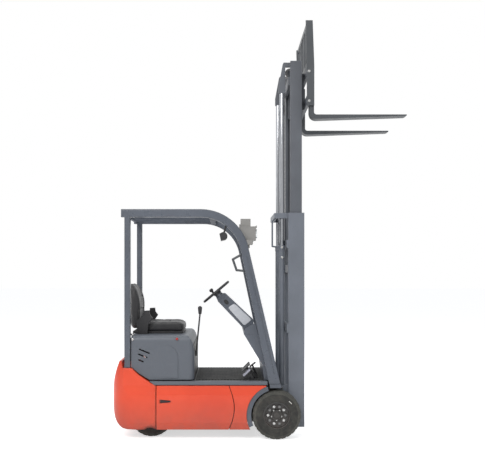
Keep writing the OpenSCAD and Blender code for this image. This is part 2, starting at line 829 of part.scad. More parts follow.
module cowl() {
    cowl_half_w = guard_y - seam_gap;
    wall = 8;
    color(hood_grey) difference() {
        from_side(-cowl_half_w, cowl_half_w)
            polygon([
                [-104, floor_z], [-120, 630], [-280, 895], [-276, 909], [-190, 909], [-122, 760],
                [-60, floor_z + 30], [-60, floor_z],
            ]);
        from_side(-cowl_half_w + wall, cowl_half_w - wall)
            polygon([
                [-94, floor_z - 1], [-110, 634], [-262, 892], [-198, 892], [-132, 756],
                [-70, floor_z + 28], [-70, floor_z - 1],
            ]);
    }
}

module steering_column() {
    foot = [-225, 953];
    top = [-472, 1199];
    foot_d = 119;
    top_d = 100;
    lean = atan2(top[1] - foot[1], top[0] - foot[0]);
    n = [sin(lean), -cos(lean)];
    hub_gap = hub_depth + pin_gap;
    axis = [-sin(wheel_tilt), cos(wheel_tilt)];
    centre = [-wheel_centre_back, wheel_centre_z];
    shaft_end = centre - hub_gap * axis;
    shaft_start = centre - 86 * axis;
    boot_r = [47, 31];
    color(steel_grey) union() {
        from_side(-column_w / 2, column_w / 2)
            polygon(concat(
                [[-215, 909], [-262, 909]],
                [foot - n * foot_d / 2],
                [for (i = [0:6]) let (a = -90 + 180 * i / 6)
                    top + n * (top_d / 2) * sin(a) + [cos(lean), sin(lean)] * (top_d / 4) * cos(a)],
                [foot + n * foot_d / 2, [-185, 909]]
            ));
        translate([shaft_start[0], 0, shaft_start[1]]) rotate([0, -wheel_tilt, 0])
            cylinder(r1 = boot_r[0], r2 = boot_r[1], h = norm(shaft_end - shaft_start));
    }
}

module steering_wheel() {
    spokes = 3;
    hub_r = 38;
    knob_r = 19;
    knob_angle = 103;
    color(black) translate([-wheel_centre_back, 0, wheel_centre_z]) rotate([0, -wheel_tilt, 0]) union() {
        rotate_extrude($fn = 64) translate([wheel_ring_r, 0]) circle(r = wheel_grip_r, $fn = 24);
        translate([0, 0, -hub_depth]) cylinder(r = hub_r, h = 34);
        for (i = [0:spokes - 1])
            rotate([0, 0, 360 * i / spokes + 180])
                translate([hub_r - 6, -13, -9]) cube([wheel_ring_r - hub_r + 2, 26, 10]);
        rotate([0, 0, knob_angle]) translate([wheel_ring_r, 0, 0]) {
            cylinder(r = knob_r / 2, h = 30);
            translate([0, 0, 24]) cylinder(r1 = knob_r - 7, r2 = knob_r, h = 10);
            translate([0, 0, 34]) cylinder(r = knob_r, h = 12);
            translate([0, 0, 46]) cylinder(r1 = knob_r, r2 = knob_r - 7, h = 8);
        }
    }
}

// Side view of the guard's rail and front leg
module guard_profile() {
    foot_back = leg_foot_x - leg_foot_w;
    inner_end = [-guard_bend_x + inner_bend_r * cos(leg_lean), bend_z + inner_bend_r * sin(leg_lean)];
    polygon(concat(
        [[-guard_rear, guard_top_z]],
        arc(-guard_bend_x, bend_z, guard_bend_r, 90, leg_lean, 14),
        [[leg_foot_x, leg_foot_z], [foot_back, leg_foot_z], inner_end],
        arc(-guard_bend_x, bend_z, inner_bend_r, leg_lean, 90, 14),
        [[-guard_rear, guard_top_z - guard_rail_h]]
    ));
}

module guard_frame() {
    groove_d = 4;
    groove_in = 24;
    groove_out = 36;
    groove_z = [560, 1560];
    color(steel_grey) both_sides() difference() {
        union() {
            from_side(guard_y, guard_half_w) guard_profile();
            block(-pillar_front - pillar_d, -pillar_front, guard_y, guard_half_w,
                pillar_seat_z, guard_top_z - guard_rail_h + 1);
            bar_y(-hinge_back, hinge_z, hinge_r - 1, hinge_y[1] + 2, hinge_y[1] + 16);
            block(-pillar_front - 1, -hinge_back, hinge_y[1] + 2, hinge_y[1] + 16, hinge_z - 5, hinge_z + hinge_r - 1);
            bar_y(-hinge_back, hinge_z, hinge_pin_r, hinge_y[0], hinge_y[1] + 3);
        }
        from_side(guard_half_w - groove_d, guard_half_w + 1)
            polygon([
                for (p = [[groove_in, 0], [groove_out, 0], [groove_out, 1], [groove_in, 1]])
                    [leg_foot_x + (leg_foot_z - groove_z[p[1]]) * tan(leg_lean) - p[0], groove_z[p[1]]]
            ]);
    }
}

module guard_roof() {
    cross_d = 48;
    cross_h = 44;
    slat_w = 14;
    slat_h = 34;
    front_x = -guard_bend_x + 120;
    rear_x0 = -guard_rear + 8;
    z1 = guard_top_z - 10;
    pitch = 2 * guard_y / (roof_slats + 1);
    front_drop = 24;
    color(steel_grey) union() {
        block(front_x - cross_d, front_x, -guard_y, guard_y, z1 - cross_h - front_drop, z1 - front_drop);
        block(rear_x0, rear_x0 + cross_d, -guard_y, guard_y, z1 - cross_h, z1);
        for (i = [1:roof_slats])
            block(rear_x0 + cross_d - 1, front_x - cross_d + 1, -guard_y + i * pitch - slat_w / 2,
                -guard_y + i * pitch + slat_w / 2, z1 - front_drop - slat_h, z1 - front_drop + 4);
    }
}

// Cuts children back to the guard's surface
module against_guard() difference() {
    children();
    both_sides() from_side(guard_y - 1, guard_half_w + 1) guard_profile();
}

module mirror_piece() {
    head_y = [-guard_half_w + 12, -guard_y + 110];
    arm_y = -guard_half_w + 26;
    head = [-455, 1740];
    head_r = 34;
    color(black) against_guard() union() {
        from_side(head_y[0], head_y[1])
            polygon(concat(arc(head[0], head[1], head_r, -70, 110, 8), [head + [-35, 20], head + [-23, -40]]));
        rod([head[0] + 3, arm_y, head[1] + 20], [head[0] + 25, arm_y, head[1] + 100], 8);
    }
}

module work_lamps() {
    lamp_y = [guard_y - 94, guard_y - 8];
    lamp_x = [-311, -175];
    lamp_z = [1703, 1825];
    brow = 8;
    box_h = 66;
    stirrup_h = 38;
    stem_y = [guard_y - 40, guard_half_w - 6];
    color("#b8b9b6") both_sides() against_guard() union() {
        block(lamp_x[0], lamp_x[1], lamp_y[0], lamp_y[1], lamp_z[0], lamp_z[1]);
        block(lamp_x[1] - 1, lamp_x[1] + brow, lamp_y[0] - 4, lamp_y[1] + 4, lamp_z[1] - 12, lamp_z[1] + 6);
        block(lamp_x[0] + 4, lamp_x[1] - 46, lamp_y[0] + 14, lamp_y[1] - 14, lamp_z[1] - 1, lamp_z[1] + box_h);
        block(lamp_x[0] + 30, lamp_x[1] - 30, stem_y[0], stem_y[1], lamp_z[0] - stirrup_h, lamp_z[0] + 1);
    }
}

module grab_handle() {
    handle_y = -guard_half_w + 25;
    bar_r = 10;
    a = [-281, handle_y, 1592];
    b = [-375, handle_y, 1537];
    c = [-342, handle_y, 1446];
    d = [-247, handle_y, 1437];
    color(black) against_guard() union() {
        rod(a, b + [-5, 0, -1], bar_r);
        rod(b + [-1, 0, 5], c + [1, 0, -5], bar_r);
        rod(c + [-5, 0, 1], d, bar_r);
    }
}

// A tyre's half section turned about its axle, r0 at the bead and r1 at the tread
module tyre(r0, r1, w) {
    shoulder = 22;
    bulge = 5;
    rotate([-90, 0, 0]) rotate_extrude($fn = 96)
        polygon([
            [r0, bulge], [r0 + 12, 0], [r1 - shoulder - 14, 0], [r1 - shoulder / 2, bulge + 4],
            [r1, shoulder], [r1, w - shoulder], [r1 - shoulder / 2, w - bulge - 4],
            [r1 - shoulder - 14, w], [r0 + 12, w], [r0, w - bulge],
        ]);
}

module front_tyre(s) color(black) on_side(s)
    translate([0, front_tyre_y - front_tyre_w, front_tyre_r]) tyre(front_rim_r, front_tyre_r, front_tyre_w);

module rear_tyre(s) color(black) on_side(s)
    translate([rear_x, rear_tyre_y - rear_tyre_w, rear_tyre_r]) tyre(rear_rim_r, rear_tyre_r, rear_tyre_w);

// A dished rim w wide with its disc's outer face at disc_y, measured from the inner side
module rim(r, w, disc_y, hub_r) {
    wall = 8;
    lip = 6;
    rotate([-90, 0, 0]) rotate_extrude($fn = 96)
        polygon([
            [r - wall, lip], [r - pin_gap, lip], [r - pin_gap, w - lip], [r - wall, w - lip],
            [r - wall - 4, disc_y + 14], [hub_r + 12, disc_y], [hub_r + 8, disc_y + 18], [0, disc_y + 18],
            [0, disc_y - disc_t], [hub_r + 12, disc_y - disc_t], [r - wall - 4, disc_y - disc_t + 6],
        ]);
}

module front_rim(s) {
    disc_y = front_tyre_w - front_disc_in;
    stud_r = 8;
    hub_r = 34;
    color(dark_grey) on_side(s) translate([0, front_tyre_y - front_tyre_w, front_tyre_r]) union() {
        rim(front_rim_r, front_tyre_w, disc_y, hub_r);
        for (i = [0:front_studs - 1])
            rotate([0, 360 * i / front_studs, 0]) translate([front_stud_circle, disc_y - 2, 0])
                rotate([-90, 0, 0]) cylinder(r = stud_r, h = 24, $fn = 24);
    }
}

module rear_rim(s) {
    disc_y = rear_tyre_w - rear_disc_in;
    hub_r = 30;
    color(dark_grey) on_side(s) translate([rear_x, rear_tyre_y - rear_tyre_w, rear_tyre_r])
        rim(rear_rim_r, rear_tyre_w, disc_y, hub_r);
}

module knuckle(s) {
    arm_gap = 4;
    arm_h = 20;
    arm_r = 26;
    plate_t = 20;
    plate_y = kingpin_y + 38;
    stub_r = 20;
    stub_end = rear_tyre_y - rear_disc_in - disc_t - pin_gap;
    z_mid = rear_tyre_r;
    reach_z = steer_beam_h / 2 + arm_gap;
    color(dark_grey) on_side(s) union() {
        for (z = [z_mid + reach_z, z_mid - reach_z - arm_h]) {
            translate([rear_x, kingpin_y, z]) cylinder(r = arm_r, h = arm_h);
            block(rear_x - arm_r, rear_x + arm_r, kingpin_y, plate_y + plate_t, z, z + arm_h);
        }
        block(rear_x - arm_r, rear_x + arm_r, plate_y, plate_y + plate_t,
            z_mid - reach_z - arm_h, z_mid + reach_z + arm_h);
        translate([rear_x, kingpin_y, z_mid - reach_z - 1]) cylinder(r = kingpin_r, h = 2 * reach_z + 2);
        bar_y(rear_x, z_mid, stub_r, plate_y + plate_t - 1, stub_end);
    }
}

// A channel rail (x, y) with its web outside and its flanges turned in
module rail_section(x, d, half_w, width, web, flange) {
    difference() {
        translate([x, half_w - width]) square([d, width]);
        translate([x + flange, half_w - width - 1]) square([d - 2 * flange, width - web + 1]);
    }
}

module outer_mast() {
    bracket_y = [rail_half_w - flange_w, rail_half_w - flange_w + 28];
    ring_r = 88;
    foot_cross = [90, 150];
    mid_cross = [900, 980];
    cross_in = 15;
    cross_x = rail_x - cross_in;
    chain_bar_in = 38;
    chain_bar_y = chain_y + 34;
    top_ear_x = -8;
    top_bar_d = 26;
    pad_h = 90;
    lug_x = tilt_pin_x - 16;
    color(steel_grey) difference() {
        union() {
            both_sides() {
                translate([0, 0, mast_z0]) linear_extrude(mast_top_z - mast_z0)
                    rail_section(rail_x, rail_d, rail_half_w, flange_w, web_t, flange_t);
                from_side(bracket_y[0], bracket_y[1])
                    polygon([[20, 128], [rail_x + 2, 110], [rail_x + 2, 330], [20, 290]]);
                bar_y(0, front_tyre_r, ring_r, bracket_y[0], bracket_y[1]);
                for (y = [tilt_y - tilt_eye_w / 2 - 1 - tilt_lug_t, tilt_y + tilt_eye_w / 2 + 1])
                    from_side(y, y + tilt_lug_t)
                        polygon([
                            [lug_x, tilt_pin_z - 14], [rail_x + 2, tilt_pin_z - 34],
                            [rail_x + 2, tilt_pin_z + 34], [lug_x, tilt_pin_z + 14],
                        ]);
                block(top_ear_x, rail_x + 2, rail_half_w - flange_w, rail_half_w - flange_w + 24,
                    mast_top_z - top_ear_h, mast_top_z);
                block(rail_x + flange_t + 20, rail_x + rail_d - flange_t - 20, inner_half_w + pin_gap,
                    rail_half_w - web_t + 1, mast_top_z - pad_h - 10, mast_top_z - 10);
            }
            for (c = [foot_cross, mid_cross])
                block(cross_x, rail_x + 1, -rail_half_w, rail_half_w, c[0], c[1]);
            block(cross_x, rail_x + 1, -rail_half_w, rail_half_w, chain_bar_z - 70, chain_bar_z);
            block(rail_x - chain_bar_in, rail_x + 1, -chain_bar_y, chain_bar_y, chain_bar_z - 40, chain_bar_z);
            block(top_ear_x, top_ear_x + top_bar_d, -rail_half_w + flange_w - 1, rail_half_w - flange_w + 1,
                mast_top_z - top_ear_h, mast_top_z);
            both_sides()
                block(lift_x - 30, lift_x + 36, lift_y - 26, bracket_y[0] + 1, lift_z0 - 20, lift_z0);
        }
        both_sides() bar_y(0, front_tyre_r, axle_tube_r + 1, 0, rail_half_w, $fn = 64);
        both_sides() bar_y(tilt_pin_x, tilt_pin_z, tilt_pin_r + linkage_gap, tilt_y - 40, tilt_y + 40);
    }
}

module lift_barrels() {
    gland_h = 40;
    color(steel_grey) both_sides() translate([lift_x, lift_y, 0]) difference() {
        union() {
            translate([0, 0, lift_z0]) cylinder(r = lift_barrel_r - gland_step, h = lift_gland_z - lift_z0);
            translate([0, 0, lift_gland_z - gland_h]) cylinder(r = lift_barrel_r, h = gland_h);
        }
        translate([0, 0, lift_z0 + barrel_floor]) cylinder(r = lift_rod_r + rod_gap, h = lift_gland_z);
    }
}

module mast_loops() {
    bar_r = 7;
    y = lift_y + 14;
    top_z = mast_top_z - top_ear_h;
    low_z = lift_gland_z - 10;
    back_x = -24;
    color(steel_grey) on_side(-1) difference() {
        union() {
            rod([6, y, top_z + 10], [back_x - 3, y, top_z - 30], bar_r);
            rod([back_x, y, low_z - 4], [back_x, y, top_z - 24], bar_r);
            rod([back_x - 3, y, low_z], [lift_x, y, low_z - 12], bar_r);
        }
        block(-60, 60, 0, rail_half_w, top_z, mast_top_z);
        translate([lift_x, lift_y, lift_z0]) cylinder(r = lift_barrel_r, h = mast_top_z);
    }
}

module inner_mast() {
    cross_half_w = inner_half_w - flange_w + 4;
    crosses = [[inner_z0 + 10, inner_z0 + 80], [inner_top_z - 200, inner_top_z - 124]];
    gusset_y = [lift_y - 8, lift_y + 18];
    gusset_h = 38;
    fork_plate_t = 12;
    color(steel_grey) union() {
        both_sides() {
            translate([0, 0, inner_z0]) linear_extrude(inner_len)
                rail_section(inner_x, inner_d, inner_half_w, flange_w, web_t, inner_flange_t);
            from_side(gusset_y[0], gusset_y[1])
                polygon([
                    [inner_x + 4, inner_top_z], [lift_x + 14, inner_top_z], [lift_x + 6, inner_top_z - 12],
                    [lift_x - 30, rod_head_z + 68], [lift_x - 30, rod_head_z], [lift_x + 28, rod_head_z],
                    [lift_x + 28, inner_top_z - gusset_h], [inner_x + 4, inner_top_z - gusset_h],
                ]);
            for (y = [chain_y - sheave_fork - fork_plate_t, chain_y + sheave_fork])
                from_side(y, y + fork_plate_t)
                    polygon([
                        [inner_cross_x + 8, inner_top_z - 130], [inner_cross_x + 30, inner_top_z - 130],
                        [sheave_x + 16, sheave_z + 12], [sheave_x - 16, sheave_z + 12],
                    ]);
        }
        for (c = crosses)
            block(inner_cross_x, inner_cross_x + cross_t, -cross_half_w, cross_half_w, c[0], c[1]);
    }
}

module lift_rods() {
    rod_in = lift_gland_z - lift_z0 - barrel_floor - lift_travel - end_gap;
    color(chrome) both_sides() translate([lift_x, lift_y, lift_gland_z - rod_in])
        cylinder(r = lift_rod_r, h = rod_head_z - lift_gland_z + rod_in);
}

module chain_sheaves() {
    pin_r = 12;
    groove_w = chain_w - 4;
    color(chrome) both_sides() union() {
        bar_y(sheave_x, sheave_z, sheave_r - chain_t / 2 - pin_gap, chain_y - groove_w / 2, chain_y + groove_w / 2);
        bar_y(sheave_x, sheave_z, pin_r, chain_y - sheave_fork, chain_y + sheave_fork);
    }
}

// A leaf chain run from z0 to z1 at x
module chain_run(x, z0, z1)
    block(x - chain_t / 2, x + chain_t / 2, chain_y - chain_w / 2, chain_y + chain_w / 2, z0, z1);

module rear_chains() color(dark_grey) both_sides() chain_run(sheave_x - sheave_r, chain_bar_z, sheave_z);

module front_chains() color(dark_grey) both_sides() chain_run(sheave_x + sheave_r, chain_anchor_z, sheave_z);

module carriage() {
    plate_t = 24;
    plate_in = 106;
    plate_y = [inner_half_w - plate_in - plate_t, inner_half_w - plate_in];
    plate_x0 = inner_cross_x + cross_t + rail_gap;
    roller_z = [lower_bar_z + 40, upper_bar_z - 30];
    roller_w = 32;
    roller_y = inner_half_w - web_t - 4;
    color(steel_grey) union() {
        for (z = [lower_bar_z, upper_bar_z - fork_bar_h])
            block(fork_bar_x, fork_bar_x + fork_bar_t, -carriage_half_w, carriage_half_w, z, z + fork_bar_h);
        both_sides() {
            block(plate_x0, fork_bar_x + 1, plate_y[0], plate_y[1], lower_bar_z, upper_bar_z - 6);
            for (z = roller_z) {
                bar_y(rail_mid_x, z, roller_r, roller_y - roller_w, roller_y);
                bar_y(rail_mid_x, z, 14, plate_y[0], roller_y - 1);
            }
        }
        block(sheave_x + sheave_r - 22, sheave_x + sheave_r + 22, -plate_y[1], plate_y[1],
            chain_anchor_z - 40, chain_anchor_z);
    }
}

module forks() {
    heel_r = 60;
    tip_t = 12;
    shank_top = upper_bar_z + hook_t;
    x0 = fork_face - fork_t;
    color(dark_grey) both_sides() from_side(fork_y - fork_w / 2, fork_y + fork_w / 2)
        polygon(concat(
            [[x0, shank_top]],
            arc(x0 + heel_r, fork_top_z - fork_t + heel_r, heel_r, 180, 270, 8),
            [
                [fork_tip_x - 12, fork_top_z - tip_t], [fork_tip_x, fork_top_z - tip_t + 5],
                [fork_tip_x - 4, fork_top_z],
            ],
            arc(fork_face + 22, fork_top_z + 22, 22, 270, 180, 5),
            [[fork_face, upper_bar_z - 20], [x0 + 12, shank_top]]
        ));
}

module load_backrest() {
    bar_d = 22;
    bar_w = 30;
    side_w = 36;
    side_t = 14;
    side_lean = 14;
    top_h = 38;
    z0 = upper_bar_z;
    span = 2 * carriage_half_w - side_w;
    x0 = fork_bar_x + 2;
    color(dark_grey) union() {
        for (i = [0:load_rest_bars + 1]) {
            y = -carriage_half_w + side_w / 2 + i * span / (load_rest_bars + 1);
            block(x0, x0 + bar_d, y - bar_w / 2, y + bar_w / 2, z0, load_rest_top_z);
        }
        for (z = [load_rest_top_z - top_h, z0])
            block(x0, x0 + bar_d, -carriage_half_w - 2, carriage_half_w + 2, z, z + top_h);
        both_sides() from_side(carriage_half_w + pin_gap, carriage_half_w + pin_gap + side_t)
            polygon([
                [fork_bar_x, lower_bar_z - 12], [fork_face, lower_bar_z - 12], [fork_face, z0],
                [fork_face - side_lean, load_rest_top_z], [fork_bar_x - side_lean + 4, load_rest_top_z],
                [fork_bar_x, z0],
            ]);
    }
}

// Places children with the tilt cylinder's rear pin at the origin and its axis along +X
module along_tilt() translate([-tilt_anchor, tilt_y, tilt_anchor_z]) rotate([0, -tilt_slope, 0]) children();

module tilt_barrels() {
    eye_r = 19;
    neck_r = 12;
    neck_l = 34;
    color(steel_grey) both_sides() along_tilt() difference() {
        union() {
            rotate([-90, 0, 0]) translate([0, 0, -tilt_eye_w / 2]) cylinder(r = eye_r, h = tilt_eye_w);
            rotate([0, 90, 0]) cylinder(r = neck_r, h = neck_l + 4);
            translate([neck_l, 0, 0]) rotate([0, 90, 0]) cylinder(r = tilt_barrel_r, h = tilt_barrel_l - neck_l);
            rotate([90, 0, 0]) cylinder(r = tilt_pin_r, h = 27);
        }
        translate([neck_l + 20, 0, 0]) rotate([0, 90, 0]) cylinder(r = tilt_rod_r + rod_gap, h = tilt_barrel_l);
    }
}

module tilt_rods() {
    eye_r = 18;
    rod_in = tilt_barrel_l - 90;
    neck_l = 34;
    neck_r = tilt_eye_w / 2 - 1;
    color(chrome) both_sides() along_tilt() union() {
        translate([rod_in, 0, 0]) rotate([0, 90, 0]) cylinder(r = tilt_rod_r, h = tilt_len - neck_l - rod_in);
        translate([tilt_len - neck_l - 1, 0, 0]) rotate([0, 90, 0]) cylinder(r = neck_r, h = neck_l + 1);
        translate([tilt_len, -tilt_eye_w / 2, 0]) rotate([-90, 0, 0]) cylinder(r = eye_r, h = tilt_eye_w);
        translate([tilt_len, -tilt_eye_w / 2 - 10, 0]) rotate([-90, 0, 0])
            cylinder(r = tilt_pin_r, h = tilt_eye_w + 20);
    }
}

placed() chassis();
placed() counterweight();
placed() fender(1);  // fender_left
placed() fender(-1);  // fender_right
placed() side_cover(1);  // side_cover_left
placed() side_cover(-1);  // side_cover_right
placed() side_trim();
placed() floor_mat();
placed() arch_liners();
placed() drive_axle();
placed() steer_axle();
placed() battery();
placed() hood();
placed() kick_panel();
placed() seat_plinth();
placed() seat_cushion();
placed() seat_backrest();
placed() seat_arms();
placed() control_lever();
placed() pedals();
placed() cowl();
placed() steering_column();
placed() steering_wheel();
placed() guard_frame();
placed() guard_roof();
placed() mirror_piece();  // mirror
placed() work_lamps();
placed() grab_handle();
placed() front_rim(1);  // front_rim_left
placed() front_rim(-1);  // front_rim_right
placed() front_tyre(1);  // front_tyre_left
placed() front_tyre(-1);  // front_tyre_right
placed() rear_rim(1);  // rear_rim_left
placed() rear_rim(-1);  // rear_rim_right
placed() rear_tyre(1);  // rear_tyre_left
placed() rear_tyre(-1);  // rear_tyre_right
placed() knuckle(1);  // knuckle_left
placed() knuckle(-1);  // knuckle_right
placed() outer_mast();
placed() lift_barrels();
placed() mast_loops();
placed() inner_mast();
placed() lift_rods();
placed() chain_sheaves();
placed() rear_chains();
placed() front_chains();
placed() carriage();
placed() forks();
placed() load_backrest();
placed() tilt_barrels();
placed() tilt_rods();
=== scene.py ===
import bpy, bmesh, math
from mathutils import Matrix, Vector


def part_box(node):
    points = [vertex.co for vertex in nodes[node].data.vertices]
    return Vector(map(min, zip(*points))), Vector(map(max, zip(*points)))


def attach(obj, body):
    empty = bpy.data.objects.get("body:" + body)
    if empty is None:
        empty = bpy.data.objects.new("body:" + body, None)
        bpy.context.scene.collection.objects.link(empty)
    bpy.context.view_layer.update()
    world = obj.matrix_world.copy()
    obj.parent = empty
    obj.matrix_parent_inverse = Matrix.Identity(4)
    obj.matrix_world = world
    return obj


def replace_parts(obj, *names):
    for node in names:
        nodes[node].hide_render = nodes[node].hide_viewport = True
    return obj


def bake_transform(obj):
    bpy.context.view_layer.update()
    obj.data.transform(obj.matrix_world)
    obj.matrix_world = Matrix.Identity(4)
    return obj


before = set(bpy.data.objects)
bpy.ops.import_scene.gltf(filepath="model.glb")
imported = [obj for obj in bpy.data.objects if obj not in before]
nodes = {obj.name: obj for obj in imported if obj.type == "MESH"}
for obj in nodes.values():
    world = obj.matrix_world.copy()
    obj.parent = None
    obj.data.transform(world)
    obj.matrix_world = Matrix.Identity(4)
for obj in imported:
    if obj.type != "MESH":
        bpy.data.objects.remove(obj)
scene = bpy.context.scene
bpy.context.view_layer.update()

# Places on the truck are millimetres from the front axle, the truck's middle and the ground.
# Sizes of small shapes, such as turned profiles, are metres.
tyre_low, tyre_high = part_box("front_tyre_right")
AXLE_X = (tyre_low.x + tyre_high.x) / 2
AXLE_Z = 208
SIDES = (("left", 1), ("right", -1))
RIGHT, LEFT = Vector((0, -1, 0)), Vector((0, 1, 0))
OUTWARD = ((-1, RIGHT), (1, LEFT))
X, Y, Z = 0, 1, 2


def at(x, y, z):
    return Vector((x / 1000 + AXLE_X, y / 1000, z / 1000))


def around_axle(r, angle, y):
    return at(r * math.cos(angle), y, AXLE_Z + r * math.sin(angle))


def side_loop(outline, y):
    """An outline of x and z, set at y."""
    return [at(x, y, z) for x, z in outline]


def sideways(width):
    return Vector((0, width / 1000, 0))


def band(inner, outer, angles):
    """Radius and angle of each corner of a curved band."""
    return [(inner, a) for a in angles] + [(outer, a) for a in reversed(angles)]


# Camera
camera = bpy.data.objects.new("camera", bpy.data.cameras.new("camera"))
scene.collection.objects.link(camera)
camera.location = at(-425, -6695, 1422)
camera.rotation_euler = (math.pi / 2, 0, 0)
camera.data.lens = 54.1
camera.data.sensor_width = 36
camera.data.shift_x = 0.032
camera.data.shift_y = 0.0856
camera.data.clip_end = 200
scene.camera = camera


# Materials
class Nodes:
    """Short calls for the nodes of a tree."""

    def __init__(self, tree):
        self.tree = tree
        tree.nodes.clear()

    def fill(self, node, sockets):
        """Sets or links inputs by name, with _ for a space, or by number, such as _0."""
        for key, value in sockets.items():
            socket = node.inputs[int(key[1:]) if key[0] == "_" else key.replace("_", " ")]
            if isinstance(value, bpy.types.NodeSocket):
                self.tree.links.new(value, socket)
            else:
                socket.default_value = value

    def add(self, kind, attributes=None, **sockets):
        node = self.tree.nodes.new(kind)
        for key, value in (attributes or {}).items():
            setattr(node, key, value)
        self.fill(node, sockets)
        return node

    def ramp(self, value, low, high, to_low=0.0, to_high=1.0):
        return self.add("ShaderNodeMapRange", _0=value, _1=low, _2=high, _3=to_low,
                        _4=to_high).outputs[0]

    def math(self, operation, a, b):
        return self.add("ShaderNodeMath", {"operation": operation}, _0=a, _1=b).outputs[0]

    def seen(self):
        """1 for what the camera sees, directly, mirrored or through glass, and 0 for light."""
        rays = self.add("ShaderNodeLightPath").outputs
        eye = self.math("MAXIMUM", rays["Is Camera Ray"], rays["Is Glossy Ray"])
        return self.math("MAXIMUM", eye, rays["Is Transmission Ray"])


class Shader(Nodes):
    """A principled material."""

    def __init__(self, name, **sockets):
        self.material = bpy.data.materials.new(name)
        self.material.use_nodes = True
        super().__init__(self.material.node_tree)
        self.bsdf = self.add("ShaderNodeBsdfPrincipled", **sockets)
        self.add("ShaderNodeOutputMaterial", _0=self.bsdf.outputs[0])
        self.place = self.add("ShaderNodeTexCoord").outputs["Object"]

    def set(self, **sockets):
        self.fill(self.bsdf, sockets)

    def noise(self, scale, detail=3.0, rough=0.5, vector=None):
        return self.add("ShaderNodeTexNoise", Vector=vector or self.place, Scale=scale,
                        Detail=detail, Roughness=rough).outputs[0]

    def cells(self, scale, **attributes):
        return self.add("ShaderNodeTexVoronoi", attributes, Vector=self.place,
                        Scale=scale).outputs[0]

    def mix(self, factor, a, b):
        return self.add("ShaderNodeMix", {"data_type": "RGBA"}, _0=factor, _6=a, _7=b).outputs[2]

    def height(self):
        return self.add("ShaderNodeSeparateXYZ", _0=self.place).outputs[2]

    def soft_normal(self, radius):
        return self.add("ShaderNodeBevel", {"samples": 4}, Radius=radius).outputs[0]

    def edges(self, normal):
        """1 on worn edges, where the softened normal leaves the face's own one."""
        flat = self.add("ShaderNodeNewGeometry").outputs["True Normal"]
        dot = self.add("ShaderNodeVectorMath", {"operation": "DOT_PRODUCT"}, _0=normal, _1=flat)
        return self.ramp(dot.outputs[1], 0.985, 0.86)

    def bump(self, height, strength, distance, normal=None):
        more = {"Normal": normal} if normal is not None else {}
        return self.add("ShaderNodeBump", Height=height, Strength=strength, Distance=distance,
                        **more).outputs[0]


def rgb(r, g, b):
    return (r, g, b, 1.0)


def paint(name, tone, shade, rough, soften, peel=0.05, worn=None, wear=0.35, grime=0.0, coat=0.0,
          gloss=0.5):
    """Sprayed metal: two drifting tones, orange peel, soft and slightly worn edges, low dust."""
    s = Shader(name, Roughness=rough, Coat_Weight=coat, Coat_Roughness=0.15,
               Specular_IOR_Level=gloss)
    normal = s.soft_normal(soften)
    colour = s.mix(s.ramp(s.noise(3.5, 4), 0.35, 0.68), tone, shade)
    if worn:
        patches = s.ramp(s.noise(38, 5, 0.7), 0.42, 0.62, 0.0, wear)
        colour = s.mix(s.math("MULTIPLY", s.edges(normal), patches), colour, worn)
    if grime:
        dust = s.ramp(s.noise(9, 5, 0.65), 0.3, 0.7, 0.3, grime)
        low = s.math("MULTIPLY", s.ramp(s.height(), 0.36, 0.08), dust)
        colour = s.mix(low, colour, rgb(0.10, 0.075, 0.06))
    s.set(Base_Color=colour, Normal=s.bump(s.noise(420, 2), peel, 0.0004, normal))
    s.set(Roughness=s.ramp(s.noise(14, 4), 0.3, 0.7, rough - 0.05, rough + 0.07))
    return s.material


def grained(name, tone, shade, rough, soften, grain=420, depth=0.25):
    """Moulded plastic: a fine cellular grain, softened edges and faint scuffs."""
    s = Shader(name, Roughness=rough, Specular_IOR_Level=0.4)
    scuffs = s.ramp(s.noise(26, 6, 0.7), 0.52, 0.72)
    normal = s.soft_normal(soften)
    colour = s.mix(s.math("MULTIPLY", scuffs, 0.4), tone, shade)
    s.set(Base_Color=s.mix(s.math("MULTIPLY", s.edges(normal), 0.35), colour, shade))
    s.set(Roughness=s.ramp(scuffs, 0.0, 1.0, rough, rough + 0.12))
    s.set(Normal=s.bump(s.cells(grain), depth, 0.0005, normal))
    return s.material


def rubber(name, tone, dust, rough=0.78, amount=0.45):
    """Moulded rubber under a patchy film of dust."""
    s = Shader(name, Roughness=rough, Specular_IOR_Level=0.3)
    film = s.math("MULTIPLY", s.ramp(s.noise(17, 6, 0.7), 0.4, 0.72), amount)
    s.set(Base_Color=s.mix(film, tone, dust))
    s.set(Normal=s.bump(s.noise(300, 4, 0.6), 0.2, 0.0006))
    return s.material


def vinyl(name, tone, shade):
    """Seat cover: leather grain of two cell sizes with a soft sheen."""
    s = Shader(name, Roughness=0.5, Sheen_Weight=0.12, Specular_IOR_Level=0.45)
    coarse = s.cells(260.0, feature="DISTANCE_TO_EDGE")
    fine = s.cells(620.0, feature="DISTANCE_TO_EDGE")
    grain = s.math("ADD", s.ramp(coarse, 0.0, 0.25), s.ramp(fine, 0.0, 0.3, 0.0, 0.4))
    s.set(Base_Color=s.mix(s.ramp(s.noise(6, 4), 0.35, 0.7), tone, shade))
    s.set(Roughness=s.ramp(s.noise(22, 5), 0.3, 0.7, 0.42, 0.6))
    s.set(Normal=s.bump(grain, 0.3, 0.0005))
    return s.material


